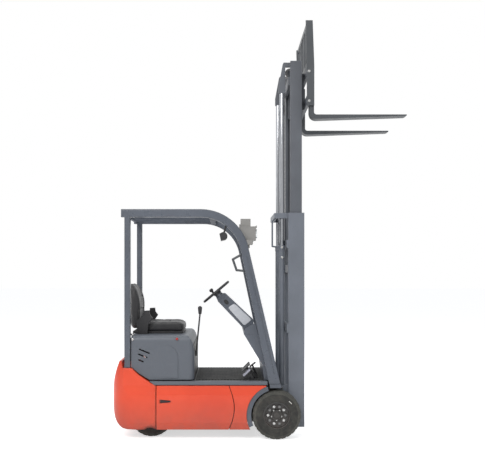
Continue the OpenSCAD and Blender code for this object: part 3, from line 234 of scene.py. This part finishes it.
def bare_metal(name, tone, shade, rough, streak=(60, 60, 4), rim=1.0):
    """Turned or ground metal with streaks; where rim is under 1, its edge tint paints a dark
    reflection towards its outline.
    """
    s = Shader(name, Metallic=1.0, Roughness=rough, Specular_Tint=rgb(rim, rim, rim))
    stretched = s.add("ShaderNodeVectorMath", {"operation": "MULTIPLY"}, _0=s.place, _1=streak)
    lines = s.noise(4, 5, 0.6, stretched.outputs[0])
    s.set(Base_Color=s.mix(s.ramp(lines, 0.35, 0.7), tone, shade))
    s.set(Roughness=s.ramp(lines, 0.3, 0.7, rough * 0.7, rough * 1.5))
    s.set(Normal=s.bump(lines, 0.05, 0.0003, s.soft_normal(0.0008)))
    return s.material


def lamp_glass(name, tone, glint):
    """A bright fluted lens."""
    s = Shader(name, Roughness=0.08, Metallic=0.6, Coat_Weight=1.0)
    flutes = s.add("ShaderNodeTexWave", {"bands_direction": "Y"}, Vector=s.place, Scale=60.0)
    s.set(Base_Color=s.mix(s.ramp(s.noise(20, 2), 0.3, 0.7), tone, glint))
    s.set(Normal=s.bump(flutes.outputs[0], 0.15, 0.001))
    return s.material


def worn_mat(name, tone, trodden):
    """A rubber mat, paler where feet have worn it."""
    s = Shader(name, Roughness=0.7, Specular_IOR_Level=0.2)
    worn = s.math("MULTIPLY", s.ramp(s.noise(11, 6, 0.7), 0.42, 0.7), 0.55)
    s.set(Base_Color=s.mix(worn, tone, trodden))
    s.set(Normal=s.bump(s.noise(240, 4, 0.6), 0.25, 0.0008, s.soft_normal(0.002)))
    return s.material


WHITE = rgb(1, 1, 1)
RED_TONE, RED_CHIP = rgb(0.77, 0.066, 0.017), rgb(0.86, 0.26, 0.16)
SLATE = rgb(0.092, 0.106, 0.132)
SLATE_SHADE = rgb(0.075, 0.086, 0.107)
SLATE_CHIP = rgb(0.26, 0.28, 0.31)

RED = paint("red_enamel", RED_TONE, rgb(0.70, 0.054, 0.014), rough=0.34, soften=0.006, peel=0.06,
            worn=RED_CHIP, wear=0.4, grime=0.5, coat=0.12)
IRON = paint("red_cast_iron", RED_TONE, rgb(0.68, 0.052, 0.014), rough=0.38, soften=0.03,
             peel=0.18, worn=RED_CHIP, wear=0.3, grime=0.5, coat=0.1)
GREY = paint("steel_grey_enamel", SLATE, SLATE_SHADE, rough=0.40, soften=0.005, peel=0.06,
             worn=SLATE_CHIP, wear=0.55)
TUBE = paint("guard_tube_enamel", SLATE, SLATE_SHADE, rough=0.30, soften=0.020, peel=0.06,
             worn=SLATE_CHIP, wear=0.4)
ROOF = paint("roof_enamel", SLATE, SLATE_SHADE, rough=0.55, soften=0.005, peel=0.06,
             worn=SLATE_CHIP, wear=0.55, gloss=0.1)
# Painted reflection: the rail grey is the mast grey made lighter, standing in for the glossy
# reflection on the outer mast and lift barrels.
LIT_RAIL = paint("mast_rail_painted_sheen", rgb(0.146, 0.162, 0.192), rgb(0.122, 0.136, 0.160), rough=0.42,
             soften=0.004, peel=0.06, worn=SLATE_CHIP, wear=0.5)
MAST = paint("mast_grey_enamel", rgb(0.098, 0.107, 0.124), rgb(0.076, 0.083, 0.097), rough=0.42,
             soften=0.004, peel=0.06, worn=rgb(0.24, 0.25, 0.28), wear=0.6)
DARK = paint("dark_chassis_paint", rgb(0.030, 0.031, 0.034), rgb(0.022, 0.022, 0.024), rough=0.5,
             soften=0.004, peel=0.1, worn=rgb(0.10, 0.10, 0.10), wear=0.5, grime=0.6)
WHEEL = paint("wheel_enamel", rgb(0.034, 0.035, 0.035), rgb(0.022, 0.023, 0.023), rough=0.45,
              soften=0.004, peel=0.08, worn=rgb(0.20, 0.20, 0.20), wear=0.4, grime=0.35)
FORK = paint("fork_steel_paint", rgb(0.060, 0.067, 0.075), rgb(0.046, 0.051, 0.057), rough=0.42,
             soften=0.004, peel=0.08, worn=rgb(0.22, 0.22, 0.23), wear=0.8)
HOOD = grained("hood_moulding", rgb(0.108, 0.121, 0.142), rgb(0.134, 0.148, 0.170), rough=0.44,
               soften=0.012, grain=380, depth=0.12)
BLACK = grained("black_moulding", rgb(0.020, 0.020, 0.022), rgb(0.050, 0.050, 0.052), rough=0.48,
                soften=0.004)
PALE = grained("pale_moulding", rgb(0.25, 0.245, 0.235), rgb(0.19, 0.186, 0.18), rough=0.5,
               soften=0.004)
# Painted highlight: silver plates on the steering column's sides stand in for the highlight along
# its glossy sides.
COLUMN_SHEEN = paint("column_painted_highlight", rgb(0.60, 0.62, 0.66), rgb(0.48, 0.50, 0.54), rough=0.26,
               soften=0.004, peel=0.04, coat=0.4)
TYRE = rubber("tyre_rubber", rgb(0.034, 0.034, 0.032), rgb(0.115, 0.110, 0.094))
SHOULDER = rubber("tyre_shoulder", rgb(0.060, 0.060, 0.054), rgb(0.150, 0.146, 0.124))
MAT = worn_mat("mat_rubber", rgb(0.022, 0.023, 0.024), rgb(0.085, 0.083, 0.078))
VINYL = vinyl("black_vinyl", rgb(0.016, 0.016, 0.018), rgb(0.026, 0.026, 0.028))
# Painted reflection: the chrome's mid-grey colour and dark rim tint stand in for dark surroundings
# mirrored in the rods.
CHROME = bare_metal("chromed_rod", rgb(0.36, 0.37, 0.39), rgb(0.27, 0.28, 0.30), rough=0.14,
                    rim=0.25)
ZINC = bare_metal("zinc_fastener", rgb(0.50, 0.50, 0.49), rgb(0.36, 0.36, 0.36), rough=0.26,
                  streak=(30, 30, 30), rim=0.5)
STEEL = bare_metal("pedal_steel", rgb(0.34, 0.34, 0.39), rgb(0.22, 0.22, 0.26), rough=0.4,
                   streak=(40, 40, 40), rim=0.5)
DULL = bare_metal("dull_fastener", rgb(0.20, 0.20, 0.20), rgb(0.13, 0.13, 0.13), rough=0.4,
                  streak=(30, 30, 30))
CHAIN = bare_metal("oiled_chain", rgb(0.22, 0.22, 0.23), rgb(0.10, 0.095, 0.09), rough=0.36,
                   streak=(80, 80, 80))
LENS = lamp_glass("lamp_lens", rgb(0.62, 0.64, 0.66), rgb(0.75, 0.77, 0.78))
CASE = paint("battery_case_paint", rgb(0.070, 0.076, 0.086), rgb(0.055, 0.06, 0.068), rough=0.55,
             soften=0.004, peel=0.1, worn=rgb(0.18, 0.18, 0.18), wear=0.5)
KNOB = grained("red_knob", rgb(0.40, 0.02, 0.015), rgb(0.30, 0.02, 0.015), rough=0.35,
               soften=0.002)
CHALK = rubber("chalk_mark", rgb(0.70, 0.70, 0.66), rgb(0.45, 0.44, 0.40), rough=0.8, amount=0.7)

look = {
    RED: ["fender_left", "fender_right", "side_cover_left", "side_cover_right"],
    IRON: ["counterweight"],
    TUBE: ["guard_frame"],
    ROOF: ["guard_roof"],
    GREY: ["mast_loops", "cowl", "arch_liners", "steering_column"],
    LIT_RAIL: ["outer_mast", "lift_barrels"],
    MAST: ["inner_mast", "carriage", "tilt_barrels"],
    DARK: ["chassis", "drive_axle", "steer_axle", "knuckle_left", "knuckle_right", "pedals"],
    WHEEL: ["front_rim_left", "front_rim_right", "rear_rim_left", "rear_rim_right"],
    FORK: ["forks", "load_backrest", "grab_handle"],
    HOOD: ["hood", "side_trim"],
    BLACK: ["kick_panel", "seat_plinth", "seat_arms", "control_lever", "steering_wheel", "mirror"],
    PALE: ["work_lamps"],
    MAT: ["floor_mat"],
    VINYL: ["seat_cushion", "seat_backrest"],
    TYRE: ["front_tyre_left", "front_tyre_right", "rear_tyre_left", "rear_tyre_right"],
    CHROME: ["lift_rods", "tilt_rods"],
    CHAIN: ["chain_sheaves", "rear_chains", "front_chains"],
    CASE: ["battery"],
}
for material, names in look.items():
    for name in names:
        nodes[name].data.materials.clear()
        nodes[name].data.materials.append(material)


# Mesh helpers
def piece(name, bm, material, body, sharp=35.0):
    """Makes an object from a bmesh, smooth but for edges sharper than the angle."""
    bmesh.ops.recalc_face_normals(bm, faces=bm.faces)
    for f in bm.faces:
        f.smooth = True
    for e in bm.edges:
        e.smooth = len(e.link_faces) == 2 and e.calc_face_angle(0.0) < math.radians(sharp)
    mesh = bpy.data.meshes.new(name)
    bm.to_mesh(mesh)
    bm.free()
    mesh.materials.append(material)
    obj = bpy.data.objects.new(name, mesh)
    scene.collection.objects.link(obj)
    if body:
        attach(obj, body)
    return obj


def prism(bm, points, offset):
    """A closed prism from a loop of points, moved by the offset to its far face."""
    low = [bm.verts.new(p) for p in points]
    high = [bm.verts.new(Vector(p) + offset) for p in points]
    bm.faces.new(low)
    bm.faces.new(list(reversed(high)))
    count = len(points)
    for i in range(count):
        after = (i + 1) % count
        bm.faces.new((low[i], low[after], high[after], high[i]))


def plate(name, loop, offset, material):
    """A piece of the chassis that is one prism."""
    bm = bmesh.new()
    prism(bm, loop, offset)
    piece(name, bm, material, "chassis", 30)


def turned(bm, centre, axis, profile, sides=24):
    """Turns a profile of (radius, height) pairs about an axis, with closed ends."""
    turn = Vector((0, 0, 1)).rotation_difference(Vector(axis)).to_matrix()
    angles = [2 * math.pi * i / sides for i in range(sides)]
    rings = []
    for r, h in profile:
        ring = [Vector((r * math.cos(a), r * math.sin(a), h)) for a in angles]
        rings.append([bm.verts.new(Vector(centre) + turn @ p) for p in ring])
    for a, b in zip(rings, rings[1:]):
        for i in range(sides):
            after = (i + 1) % sides
            bm.faces.new((a[i], a[after], b[after], b[i]))
    bm.faces.new(rings[0])
    bm.faces.new(rings[-1])


def bolt(bm, centre, axis, r):
    """A washer and a chamfered hexagon head."""
    washer = [(r * 1.25, -0.0005), (r * 1.25, r * 0.15), (r * 1.15, r * 0.2)]
    turned(bm, centre, axis, washer, 16)
    turned(bm, centre, axis, [(r, r * 0.18), (r, r * 0.72), (r * 0.82, r * 0.85)], 6)


def bolts(name, body, material, node, places):
    """Bolt heads set on a node's surface, found by looking in along each bolt's axis."""
    obj = nodes[node]
    back = obj.matrix_world.inverted()
    bm = bmesh.new()
    for centre, axis, r in places:
        start = Vector(centre) + axis * 0.2
        found, spot, _, _ = obj.ray_cast(back @ start, back.to_3x3() @ -axis)
        bolt(bm, obj.matrix_world @ spot if found else centre, axis, r / 1000)
    piece(name, bm, material, body, 25)


def rounded(points, radius, steps=5):
    """Rounds the corners of a flat loop of points."""
    out = []
    count = len(points)
    for i in range(count):
        p, a, b = Vector(points[i]), Vector(points[i - 1]), Vector(points[(i + 1) % count])
        r = min(radius, (a - p).length / 2.1, (b - p).length / 2.1)
        start, end = p + (a - p).normalized() * r, p + (b - p).normalized() * r
        for k in range(steps + 1):
            u = k / steps
            out.append((1 - u) ** 2 * start + 2 * u * (1 - u) * p + u ** 2 * end)
    return out


# Tyres
def tyre(name, node, body, lugs, depth):
    """A moulded tyre: slanted shoulder lugs, a rib round the sidewall and a bead."""
    low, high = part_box(node)
    centre, outer, half = (low + high) / 2, (high.z - low.z) / 2, (high.y - low.y) / 2
    bead = outer * 0.558
    # Radius and share of the half width, from the bead out to the middle of the tread
    section = [
        (bead, 0.93), (bead + 0.004, 0.975), (bead + 0.012, 1.0), (bead + 0.020, 0.985),
        (outer * 0.72, 0.985), (outer * 0.80, 1.0), (outer * 0.815, 1.0), (outer * 0.825, 0.975),
        (outer * 0.865, 0.985), (outer * 0.90, 0.975), (outer * 0.945, 0.93),
        (outer * 0.975, 0.86), (outer * 0.992, 0.74), (outer, 0.58), (outer, 0.40),
        (outer, 0.24), (outer * 0.985, 0.17), (outer * 0.985, 0.07),
    ]
    section += [(r, -w) for r, w in reversed(section)]
    per_lug, groove_share = 10, 0.3
    count = lugs * per_lug
    bm = bmesh.new()
    rings = []
    for i in range(count):
        angle = 2 * math.pi * i / count
        ring = []
        for r, w in section:
            lug = (i / per_lug + 0.5 * (w < 0) + 0.55 * abs(w)) % 1
            if lug < groove_share and r > outer * 0.89:
                r = r - depth * min(1, max(0, (abs(w) - 0.20) / 0.06))
            spoke = Vector((r * math.cos(angle), w * half, r * math.sin(angle)))
            ring.append(bm.verts.new(centre + spoke))
        rings.append(ring)
    for i in range(count):
        a, b = rings[i], rings[(i + 1) % count]
        for k in range(len(section) - 1):
            face = bm.faces.new((a[k], a[k + 1], b[k + 1], b[k]))
            face.material_index = int(min(section[k][0], section[k + 1][0]) > outer * 0.86)
        bm.faces.new((a[-1], a[0], b[0], b[-1]))
    obj = piece(name, bm, TYRE, body, 30)
    obj.data.materials.append(SHOULDER)
    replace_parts(obj, node)


for side, _ in SIDES:
    tyre("moulded_front_tyre_" + side, "front_tyre_" + side, "front_wheel_" + side, 26, 0.004)
    tyre("moulded_rear_tyre_" + side, "rear_tyre_" + side, "rear_wheel_" + side, 24, 0.003)

# Wheel nuts, hub screws, hub cap and the chalk dash on the front wheels
DISC_Y, CHALK_Y = 449, 494.2
NUT_CIRCLE, NUT_R = 75, 9.5
SCREW_CIRCLE, SCREW_R = 44, 6
HUB_CAP = [(0.030, 0), (0.030, 0.006), (0.026, 0.010), (0.012, 0.011)]
dash = band(157, 163, [math.radians(38 + 3 * k) for k in range(5)])
for side, s in SIDES:
    wheel, rim = "front_wheel_" + side, "front_rim_" + side
    out = Vector((0, s, 0))
    bright, dim, screws = [], [], []
    for i in range(10):
        a = math.radians(36 * i)
        nuts = bright if i % 2 else dim
        nuts.append((around_axle(NUT_CIRCLE, a, s * (DISC_Y + 7)), out, NUT_R))
        if i % 2:
            a += math.radians(18)
            screws.append((around_axle(SCREW_CIRCLE, a, s * (DISC_Y + 2)), out, SCREW_R))
    bolts("wheel_nuts_bright_" + side, wheel, ZINC, rim, bright)
    bolts("wheel_nuts_dim_" + side, wheel, DULL, rim, dim)
    bolts("hub_screws_" + side, wheel, ZINC, rim, screws)
    bm = bmesh.new()
    turned(bm, at(0, s * (DISC_Y + 17.5), AXLE_Z), out, HUB_CAP, 32)
    piece("hub_cap_" + side, bm, WHEEL, wheel)
    bm = bmesh.new()
    prism(bm, [around_axle(r, a, s * CHALK_Y) for r, a in dash], out * 0.0011)
    piece("chalk_dash_" + side, bm, CHALK, wheel)

# Padded seat
PAD_CUTS, PAD_POWER, PAD_VOXEL = 14, 7, 0.006
CLOTH_FRAMES, CLOTH_PRESSURE, SWELL_LIMIT = 20, 4.0, 0.009
SEAM_WIDTH = 0.007


def pad(name, node, body, half, centre, bend, floor, seams):
    """A stuffed pad: a rounded block is remeshed, blown up as cloth, sewn and set on its base."""
    bm = bmesh.new()
    bmesh.ops.create_cube(bm, size=2)
    bmesh.ops.subdivide_edges(bm, edges=bm.edges[:], cuts=PAD_CUTS, use_grid_fill=True)
    for v in bm.verts:
        p = Vector(v.co)
        p /= sum(abs(c) ** PAD_POWER for c in p) ** (1 / PAD_POWER)
        v.co = Vector(centre) + bend(Vector((p.x * half[0], p.y * half[1], p.z * half[2])))
    obj = piece(name, bm, VINYL, None, 180)
    remesh = obj.modifiers.new("remesh", "REMESH")
    remesh.mode = "VOXEL"
    remesh.voxel_size = PAD_VOXEL

    def bake():
        graph = bpy.context.evaluated_depsgraph_get()
        mesh = bpy.data.meshes.new_from_object(obj.evaluated_get(graph))
        obj.modifiers.clear()
        return mesh

    obj.data = bake()
    rest = [v.co.copy() for v in obj.data.vertices]
    cloth = obj.modifiers.new("cloth", "CLOTH")
    cloth.settings.use_pressure = True
    cloth.settings.uniform_pressure_force = CLOTH_PRESSURE
    cloth.settings.effector_weights.gravity = 0.0
    cloth.settings.quality = 4
    cloth.point_cache.frame_start = 1
    cloth.point_cache.frame_end = CLOTH_FRAMES
    for f in range(1, CLOTH_FRAMES + 1):
        scene.frame_set(f)
    obj.data = bake()
    scene.frame_set(1)
    normals = [v.normal.copy() for v in obj.data.vertices]
    for v, start, normal in zip(obj.data.vertices, rest, normals):
        move = v.co - start
        if move.length > SWELL_LIMIT:
            move *= SWELL_LIMIT / move.length
        v.co = start + move
        for distance, depth in seams:
            d = distance(v.co, normal)
            if d is not None:
                v.co -= normal * depth * math.exp(-(d / SEAM_WIDTH) ** 2)
        v.co.z = max(v.co.z, floor)
    obj.data.materials.clear()
    obj.data.materials.append(VINYL)
    obj.data.polygons.foreach_set("use_smooth", [True] * len(obj.data.polygons))
    obj.modifiers.new("smooth", "SUBSURF").levels = 1
    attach(obj, body)
    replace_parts(obj, node)


def seam(axis, place, facing, reach=1.0):
    """Distance from a seam, on the side that faces along an axis and within reach of the middle."""
    return lambda co, n: co[axis] - place if n[facing] > 0.3 and abs(co.y) < reach else None


cushion_low, cushion_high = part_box("seat_cushion")
cushion_mid = (cushion_low + cushion_high) / 2
cushion_half = (cushion_high - cushion_low) / 2


def cushion_bend(p):
    """Dishes the top, lifts its side bolsters and narrows the front."""
    u = p.x / cushion_half.x
    side = min(1, abs(p.y) / cushion_half.y)
    lift = 0.012 * max(0, side - 0.62) / 0.38 if p.z > 0 else 0
    dish = 0.010 * (1 - side ** 2) * (p.z > 0)
    width = 1 - 0.05 * max(0, u)
    return Vector((p.x - 0.010 * side ** 2, p.y * width, p.z - dish + lift - 0.006))


pad("sewn_cushion", "seat_cushion", "hood_lid",
    (cushion_half.x - 0.008, cushion_half.y - 0.009, cushion_half.z - 0.006),
    cushion_mid, cushion_bend, cushion_low.z + 0.0006,
    [(seam(Y, 0.150, Z), 0.010), (seam(Y, -0.150, Z), 0.010),
     (seam(X, cushion_mid.x + 0.03, Z, 0.155), 0.009)])

back_low, back_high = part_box("seat_backrest")
back_mid = (back_low + back_high) / 2
back_half = (back_high - back_low) / 2


def back_bend(p):
    """Hollows the front, narrows both ends and leans the top back."""
    u = p.z / back_half.z
    side = abs(p.y) / back_half.y
    hollow = 0.018 * (1 - side ** 2) * (p.x > 0)
    width = 1 - 0.16 * max(0, u) ** 2 - 0.05 * max(0, -u)
    lean = 0.016 - 0.055 * max(0, u) ** 2.2
    return Vector((p.x * (1 - 0.5 * max(0, u) ** 2) - hollow + lean, p.y * width, p.z))


pad("sewn_backrest", "seat_backrest", "hood_lid",
    (0.040, back_half.y - 0.010, back_half.z - 0.010),
    back_mid, back_bend, back_low.z + 0.0006,
    [(seam(Y, 0.140, X), 0.010), (seam(Y, -0.140, X), 0.010),
     (seam(Z, back_mid.z - 0.03, X, 0.145), 0.008),
     (seam(Z, back_mid.z + 0.09, X, 0.145), 0.008)])

# Lift rods, turned smooth
rod_low, rod_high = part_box("lift_rods")
rod_r = (rod_high.x - rod_low.x) / 2
rod = [(rod_r, 0), (rod_r, rod_high.z - rod_low.z)]
bm = bmesh.new()
for y in (rod_low.y + rod_r, rod_high.y - rod_r):
    turned(bm, (rod_low.x + rod_r, y, rod_low.z), (0, 0, 1), rod, 64)
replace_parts(piece("ground_lift_rods", bm, CHROME, "mast_inner"), "lift_rods")

# Leaf chains
LINK_PITCH, LINK_R, LINK_THICK = 0.019, 0.0085, 0.004
PIN_R, CHAIN_HALF = 0.003, 0.012
TWO_PLATES, THREE_PLATES = (-0.0047, 0.0047), (-0.0095, 0.0, 0.0095)


def leaf_chain(name, node):
    """Two runs of leaf links, two and three plates wide in turn, with their pins."""
    low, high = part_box(node)
    x = (low.x + high.x) / 2
    outer_y = max(round(v.co.y, 4) for v in nodes[node].data.vertices)
    count = max(4, round((high.z - low.z) / LINK_PITCH))
    pitch = (high.z - low.z) / count
    outline = []
    for k in range(12):
        a = math.pi * 2 * k / 12
        pin_z = pitch / 2 if math.sin(a) > 0 else -pitch / 2
        outline.append((LINK_R * math.cos(a), pin_z + LINK_R * math.sin(a)))
    bm = bmesh.new()
    for s in (-1, 1):
        y = s * (outer_y - CHAIN_HALF)
        for i in range(count):
            z = low.z + pitch * (i + 0.5)
            link = [(x + px, min(max(z + pz, low.z), high.z)) for px, pz in outline]
            for dy in THREE_PLATES if i % 2 else TWO_PLATES:
                near = y + dy - LINK_THICK / 2
                prism(bm, [Vector((px, near, pz)) for px, pz in link], Vector((0, LINK_THICK, 0)))
            if 0 < i < count - 1:
                turned(bm, (x, y - CHAIN_HALF, z - pitch / 2), (0, 1, 0),
                       [(PIN_R, 0), (PIN_R, 2 * CHAIN_HALF)], 8)
    chain = piece(name, bm, CHAIN, None, 30)
    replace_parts(chain, node)
    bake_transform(chain)


leaf_chain("rear_leaf_chains", "rear_chains")
leaf_chain("front_leaf_chains", "front_chains")

# Steering column: silver side plates, a painted highlight of its glossy sides, and the dark cap
# near its top
COLUMN_Y = 62.5
foot, top = Vector((-225, 953)), Vector((-472, 1199))
along = (top - foot).normalized()
across = Vector((along.y, -along.x))
highlight_panel = [foot + along * 22 - across * 38, foot + along * 14 + across * 50,
         foot + along * 230 + across * 43, foot + along * 246 - across * 26]
spot = top - along * 58
oval = [(spot.x + along.x * 26 * math.cos(a) + across.x * 17 * math.sin(a),
         spot.y + along.y * 26 * math.cos(a) + across.y * 17 * math.sin(a))
        for a in [2 * math.pi * k / 24 for k in range(24)]]
for side, s in SIDES:
    plate("column_highlight_panel_" + side, rounded(side_loop(highlight_panel, s * COLUMN_Y), 0.022),
          sideways(s * 4), COLUMN_SHEEN)
    plate("column_cap_" + side, side_loop(oval, s * COLUMN_Y), sideways(s * 3), BLACK)

# Accelerator plate with its ribs, and the slim pedal beyond the brake pedals
mat_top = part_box("floor_mat")[1].z * 1000 + 0.3


def pedal_plate(bm, low, high, thick, y, width, ribs):
    """A slanted plate from its low to its high edge, with ribs across the top."""
    low, high = Vector(low), Vector(high)
    run = (high - low).normalized()
    up = Vector((-run.y, run.x))
    section = rounded([low, high, high + up * thick, low + up * thick], 4, 3)
    prism(bm, side_loop(section, y), sideways(width))
    for k in range(ribs):
        start = low + (high - low) * (k + 0.6) / (ribs + 0.5) + up * (thick - 0.5)
        rib = [start, start + run * 6, start + run * 5 + up * 4, start + run + up * 4]
        prism(bm, side_loop(rib, y + 4), sideways(width - 8))


bm = bmesh.new()
pedal_plate(bm, (-278, 522), (-219, 580), thick=17, y=-374, width=58, ribs=5)
piece("accelerator_plate", bm, STEEL, "chassis", 30)
stem = [(-245, 553.5), (-231, 567.5), (-186, mat_top), (-212, mat_top)]
plate("accelerator_stem", side_loop(stem, -351), sideways(12), DARK)
bm = bmesh.new()
pedal_plate(bm, (-216, 566), (-163, 607), thick=9, y=-92, width=64, ribs=0)
stem = [(-199, 579), (-187, 588), (-150, mat_top), (-172, mat_top)]
prism(bm, side_loop(stem, -66), sideways(12))
piece("slim_pedal", bm, BLACK, "chassis", 30)

# Grey cheek plates that carry the cowl on to the guard's legs, and those on the legs' feet
cowl_cheek = [(-276, 896), (-268, 942), (-182, 990), (-120, 766), (-134, 764), (-196, 896)]
foot_cheek = rounded([Vector(p) for p in ((-59, 437), (39, 437), (39, 469), (-59, 469))], 3, 3)
for side, s in SIDES:
    plate("cowl_cheek_" + side, side_loop(cowl_cheek, s * 404.3), sideways(s * 3.5), GREY)
    plate("foot_cheek_" + side, side_loop(foot_cheek, s * 460.2), sideways(s * 2.5), GREY)

# Black plates in the side covers' finger recesses, a painted shade of the recesses
recess_shade_plate = [(-996, 312), (-908, 319), (-908, 333), (-996, 340)]
for side, s in SIDES:
    plate("recess_shade_plate_" + side, rounded(side_loop(recess_shade_plate, s * 472.9), 0.006),
          sideways(s * 3), BLACK)

# Grey bands in the wheel arches, clear of the tyres
arch = band(0.218, 0.257, [math.radians(108 + 4 * k) for k in range(25)])
for side, s in SIDES:
    inner_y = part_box("fender_" + side)[0 if s < 0 else 1].y - s * 0.016
    loop = [Vector((AXLE_X + r * math.cos(a), inner_y, AXLE_Z / 1000 + r * math.sin(a)))
            for r, a in arch]
    plate("arch_band_" + side, loop, sideways(s * 6), GREY)

# Black strips that close the seams between cover and fender and between hood and pillars: painted
# shade inside the gaps
cover_seam_shade = [(465.3, 210), (465.3, 148), (446.5, 88), (443.5, 88), (462.3, 148), (462.3, 210)]
hood_seam_shade = [(-1253.5, 668), (-1246.6, 668), (-1246.6, 866), (-1253.5, 866)]
for side, s in SIDES:
    bm = bmesh.new()
    prism(bm, [at(-414, s * y, z) for y, z in cover_seam_shade], Vector((0.058, 0, 0)))
    prism(bm, side_loop(hood_seam_shade, s * 430), sideways(s * 14))
    piece("seam_shade_strip_" + side, bm, BLACK, "chassis", 30)

# Lamps: lens with its rim, and cooling fins behind
LENS_PROFILE = [(0.040, 0), (0.040, 0.008), (0.037, 0.010), (0.036, 0.007), (0.024, 0.009),
                (0.010, 0.010)]
FIN_THICK, FIN_PITCH = 5, 12.5
fin = [(-310.5, 1710), (-310.5, 1818), (-319, 1814), (-319, 1714)]
for side, s in SIDES:
    bm = bmesh.new()
    turned(bm, at(-175.4, s * 359, 1762), (1, 0, 0), LENS_PROFILE, 36)
    piece("lamp_lens_" + side, bm, LENS, "chassis", 50)
    bm = bmesh.new()
    for k in range(7):
        near = s * (322 + FIN_PITCH * k) - FIN_THICK / 2
        prism(bm, rounded(side_loop(fin, near), 0.003, 3), sideways(FIN_THICK))
    piece("lamp_fins_" + side, bm, PALE, "chassis", 30)

# Hinge caps
HINGE_CAP = [(0.011, 0), (0.011, 0.004), (0.008, 0.007), (0.003, 0.008)]
hinges = (("hood_lid", "hinge_leaf_caps", -1234, 450, 854),
          ("chassis", "hinge_pin_caps", -1240, 422, 893))
for body, name, x, y, z in hinges:
    bm = bmesh.new()
    for s, out in OUTWARD:
        turned(bm, at(x, s * (y - 0.5), z), out, HINGE_CAP, 20)
    piece(name, bm, ZINC, body)

# Bolts of the lift barrels, the carriage and the load backrest
BOLT_R = 9
barrel_bolts = [(at(63, s * 260, z), out, BOLT_R) for s, out in OUTWARD for z in (1560, 1650)]
bolts("barrel_bolts", "mast_outer", ZINC, "lift_barrels", barrel_bolts)

carriage_bolts, rest_bolts = [], []
bar_face, rest_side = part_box("carriage")[1].x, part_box("load_backrest")[1].y
for z in (2.913, 3.168):
    for y in (-0.3, -0.06, 0.06, 0.3):
        carriage_bolts.append((Vector((bar_face, y, z)), Vector((1, 0, 0)), BOLT_R))
    for s, out in OUTWARD:
        rest_bolts.append((Vector((bar_face - 0.006, s * rest_side, z - 0.01)), out, BOLT_R))
bolts("carriage_bolts", "fork_carriage", ZINC, "carriage", carriage_bolts)
bolts("rest_bolts", "fork_carriage", ZINC, "load_backrest", rest_bolts)

# Red switch knob on the hood
SWITCH = [(0.006, 0), (0.006, 0.009), (0.010, 0.010), (0.011, 0.013), (0.009, 0.016),
          (0.004, 0.017)]
bm = bmesh.new()
turned(bm, at(-853, -446, 858), RIGHT, SWITCH, 24)
piece("red_switch", bm, KNOB, "hood_lid")

# Floor: white to the camera, and a plain pale surface to the light
FLOOR_GLOW = 0.62
bm = bmesh.new()
bmesh.ops.create_grid(bm, x_segments=1, y_segments=1, size=60)
floor_mesh = bpy.data.meshes.new("floor")
bm.to_mesh(floor_mesh)
bm.free()
floor = bpy.data.objects.new("floor", floor_mesh)
scene.collection.objects.link(floor)
ground = Shader("white_floor", Roughness=0.9, Specular_IOR_Level=0.0)
pale = ground.mix(ground.noise(1.5, 2), rgb(0.97, 0.97, 0.97), rgb(0.95, 0.95, 0.95))
glow = ground.math("MULTIPLY", ground.seen(), FLOOR_GLOW)
ground.set(Base_Color=pale, Emission_Color=WHITE, Emission_Strength=glow)
floor.data.materials.append(ground.material)

# Surroundings: white to the camera. Their light is brightest towards the viewer and overhead and
# dark to both sides, as in a studio with black wings.
world = bpy.data.worlds.new("studio")
scene.world = world
world.use_nodes = True
studio = Nodes(world.node_tree)
direction = studio.add("ShaderNodeTexCoord").outputs["Generated"]
towards = studio.add("ShaderNodeSeparateXYZ", _0=direction).outputs
around = studio.math("MAXIMUM", studio.ramp(towards["Y"], -1.0, -0.4, 0.55, 0.12),
                     studio.ramp(towards["Y"], 0.2, 1.0, 0.12, 0.3))
strength = studio.math("ADD", around, studio.ramp(towards["Z"], 0.2, 1.0, 0.0, 0.35))
sky = studio.add("ShaderNodeBackground", Color=rgb(0.95, 0.97, 1.0), Strength=strength)
backdrop = studio.add("ShaderNodeBackground", Color=WHITE, Strength=1.0)
choose = studio.add("ShaderNodeMixShader", _0=studio.seen(), _1=sky.outputs[0],
                    _2=backdrop.outputs[0])
studio.add("ShaderNodeOutputWorld", _0=choose.outputs[0])


# Lamps of the studio
def area(name, place, target, size, power, tint=(1, 1, 1)):
    lamp = bpy.data.lights.new(name, "AREA")
    lamp.shape = "RECTANGLE"
    lamp.size, lamp.size_y = size
    lamp.energy = power
    lamp.color = tint
    obj = bpy.data.objects.new(name, lamp)
    scene.collection.objects.link(obj)
    obj.location = place
    obj.rotation_euler = (Vector(target) - Vector(place)).to_track_quat("-Z", "Y").to_euler()
    return obj


area("key", (-2.5, -5.0, 5.2), (-0.3, 0, 1.0), (3.5, 3.0), 230, (1, 0.98, 0.96))
area("fill", (4.5, -4.5, 3.0), (0, 0, 1.5), (3.0, 4.0), 70).visible_glossy = False
area("top", (0, 0.5, 6.5), (0, 0, 0), (5.0, 4.0), 130)
area("rear", (-4.5, 3.0, 4.0), (-0.5, 0, 1.0), (3.0, 3.0), 60)

scene.view_settings.view_transform = "Standard"
